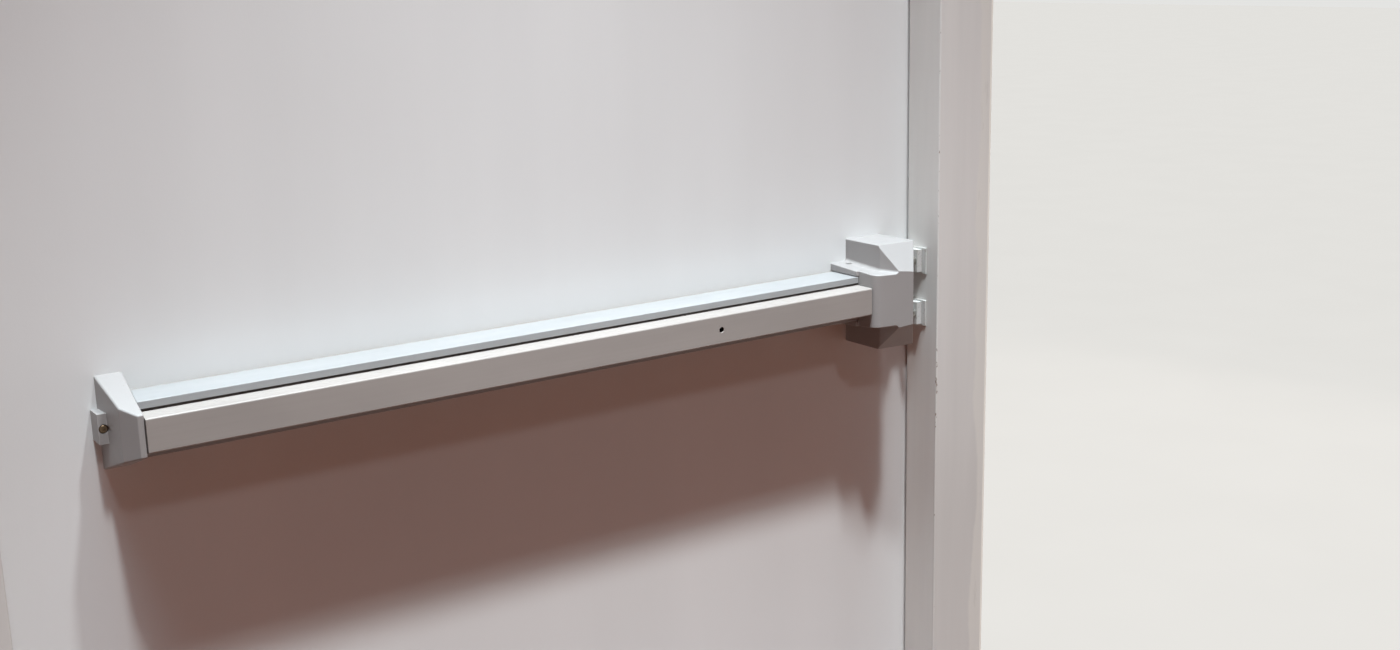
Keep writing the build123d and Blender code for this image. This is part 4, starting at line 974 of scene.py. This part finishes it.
class SetStage(bpy.types.Operator):
    """Lays the pale floor, hangs the lamps and sets the camera"""

    bl_idname = "exit_door.stage"
    bl_label = "Stage"

    def execute(self, context):
        colours, sizes = context.scene.door_colours, context.scene.door_sizes
        self.lay_floor(colours)
        self.hang_lamps(sizes)
        self.light_room(context.scene, colours)
        self.set_camera(context.scene, sizes)
        context.scene.view_settings.view_transform = "Standard"
        return {"FINISHED"}

    def lay_floor(self, colours):
        """A wide floor: pale to the eye, dim and warm in the light that it throws back."""
        bpy.ops.object.select_all(action="DESELECT")
        bpy.ops.mesh.primitive_plane_add(size=60, location=(0, 0, 0))
        floor = bpy.context.object
        floor.name = "studio_floor"
        material, tree = start_material("studio_floor")
        seen = self.seen_directly(tree)
        mottled = patches(tree, 333, 3)
        pale = coats(tree, shaded(colours.floor, 0.97), (mottled, shaded(colours.floor, 1.02)))
        lit = add_node(tree, "BsdfDiffuse", {"Color": linear(floor_lit)})
        even = add_node(tree, "Emission", {"Color": pale, "Strength": 0.95})
        shown = add_node(tree, "AddShader", (lit, even))
        thrown = add_node(tree, "BsdfDiffuse", {"Color": linear(floor_thrown)})
        both = add_node(tree, "MixShader", (seen, thrown, shown))
        add_node(tree, "OutputMaterial", {"Surface": both})
        floor.data.materials.append(material)

    def seen_directly(self, tree):
        """1 where the camera sees a surface itself or in gloss or through glass, 0 for light thrown on."""
        seen = 0.0
        for ray in ("Is Camera Ray", "Is Glossy Ray", "Is Transmission Ray"):
            kind = add_node(tree, "LightPath", output=ray)
            seen = add_node(tree, "Math", (seen, kind), operation="MAXIMUM")
        return seen

    def hang_lamps(self, sizes):
        """Distant lamps on the room side, a downlight close by and soft lamps for the other sides."""
        self.hang_distant_lamps(sizes)
        self.hang_downlight(sizes)
        self.hang_soft_lamps()

    def hang_distant_lamps(self, sizes):
        """The steep ceiling lamp, the wide skylight and the weak low lamp, with their spread and fall."""
        slant = (0.03, math.cos(sizes.key_height), -math.sin(sizes.key_height))
        lamps = (
            ("ceiling_lamp", sizes.key_strength, sizes.key_spread, cool_white, slant),
            ("skylight", sizes.sky_strength, math.radians(30), sky_blue, (0.10, 0.02, -1)),
            ("low_lamp", sizes.low_strength, math.radians(5), near_white, (0.05, 0.69, -0.72)),
        )
        for name, strength, spread, colour, fall in lamps:
            light = bpy.data.lights.new(name, "SUN")
            light.energy = strength
            light.angle = spread
            light.color = colour
            # a distant lamp lights the same from any place
            self.hang(light, (0, -1, 3), fall)

    def hang_downlight(self, sizes):
        """The downlight close above the bar, which shines straight down."""
        light = bpy.data.lights.new("downlight", "SPOT")
        light.energy = sizes.near_strength
        light.color = cool_white
        light.shadow_soft_size = 0.05
        light.spot_size = math.radians(60)
        light.spot_blend = 1.0
        from_leaf, height = 0.62, 2.95
        self.hang(light, (0.05, face_y - from_leaf, height))

    def hang_soft_lamps(self):
        """A wide soft lamp behind the door and one beside it, each with its place, power and size."""
        lamps = (
            ("back_lamp", (0.6, 3.2, 2.2), 80.0, 4.0),
            ("side_lamp", (3.4, 0.7, 2.0), 60.0, 3.5),
        )
        for name, spot, power, size in lamps:
            light = bpy.data.lights.new(name, "AREA")
            light.energy = power
            light.color = soft_blue
            light.size = size
            self.hang(light, spot, Vector((0, 0, 1.0)) - Vector(spot))

    def hang(self, light, spot, fall=(0, 0, -1)):
        """Puts a lamp in the scene at a place, with its light falling one way."""
        holder = bpy.data.objects.new(light.name, light)
        bpy.context.scene.collection.objects.link(holder)
        holder.rotation_mode = "QUATERNION"
        holder.rotation_quaternion = Vector(fall).to_track_quat("-Z", "Y")
        holder.location = spot

    def light_room(self, scene, colours):
        """The world: a dim warm room for the light on the object, a pale backdrop for the eye."""
        world = bpy.data.worlds.new("room")
        world.use_nodes = True
        scene.world = world
        tree = world.node_tree
        tree.nodes.clear()
        seen = self.seen_directly(tree)
        dim = add_node(tree, "Background", {"Color": linear(room_light), "Strength": 1.0})
        pale = add_node(tree, "Background", {"Color": tuple(colours.backdrop), "Strength": 1.0})
        both = add_node(tree, "MixShader", (seen, dim, pale))
        add_node(tree, "OutputWorld", {"Surface": both})

    def set_camera(self, scene, sizes):
        """The camera stands where the photograph was taken from, at standing height."""
        data = bpy.data.cameras.new("camera")
        data.sensor_width = 36
        data.lens = sizes.camera_lens
        camera = bpy.data.objects.new("camera", data)
        scene.collection.objects.link(camera)
        turn, tilt, roll = sizes.camera_turn
        aim = Matrix.Rotation(-turn, 4, "Z")
        aim = aim @ Matrix.Rotation(math.pi / 2 - tilt, 4, "X")
        aim = aim @ Matrix.Rotation(roll, 4, "Z")
        camera.matrix_world = Matrix.Translation(sizes.camera_place) @ aim
        scene.camera = camera


class DoorPanel(bpy.types.Panel):
    """The door's operators, colours and sizes in the sidebar"""

    bl_idname = "VIEW3D_PT_exit_door"
    bl_label = "Exit Door"
    bl_space_type = "VIEW_3D"
    bl_region_type = "UI"
    bl_category = "Exit Door"

    def draw(self, context):
        layout = self.layout
        for operator in operators:
            layout.operator(operator.bl_idname)
        for group in (context.scene.door_colours, context.scene.door_sizes):
            box = layout.box()
            for name in group.bl_rna.properties.keys():
                if name not in ("rna_type", "name"):
                    box.prop(group, name)


operators = (
    DressLeaf,
    DressFrame,
    DressHinges,
    DressBar,
    DressHead,
    DressCap,
    DressStrike,
    DressWorks,
    SetStage,
)


def register():
    for kind in (DoorColours, DoorSizes, *operators, DoorPanel):
        bpy.utils.register_class(kind)
    bpy.types.Scene.door_colours = bpy.props.PointerProperty(type=DoorColours)
    bpy.types.Scene.door_sizes = bpy.props.PointerProperty(type=DoorSizes)


def unregister():
    del bpy.types.Scene.door_sizes
    del bpy.types.Scene.door_colours
    for kind in (DoorPanel, *reversed(operators), DoorSizes, DoorColours):
        bpy.utils.unregister_class(kind)


def main():
    """Runs every operator in order."""
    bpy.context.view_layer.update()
    register()
    bpy.ops.exit_door.leaf()
    bpy.ops.exit_door.frame()
    bpy.ops.exit_door.hinges()
    bpy.ops.exit_door.bar()
    bpy.ops.exit_door.head()
    bpy.ops.exit_door.cap()
    bpy.ops.exit_door.strike()
    bpy.ops.exit_door.works()
    bpy.ops.exit_door.stage()
    bpy.context.view_layer.update()


if __name__ == "__main__":
    main()
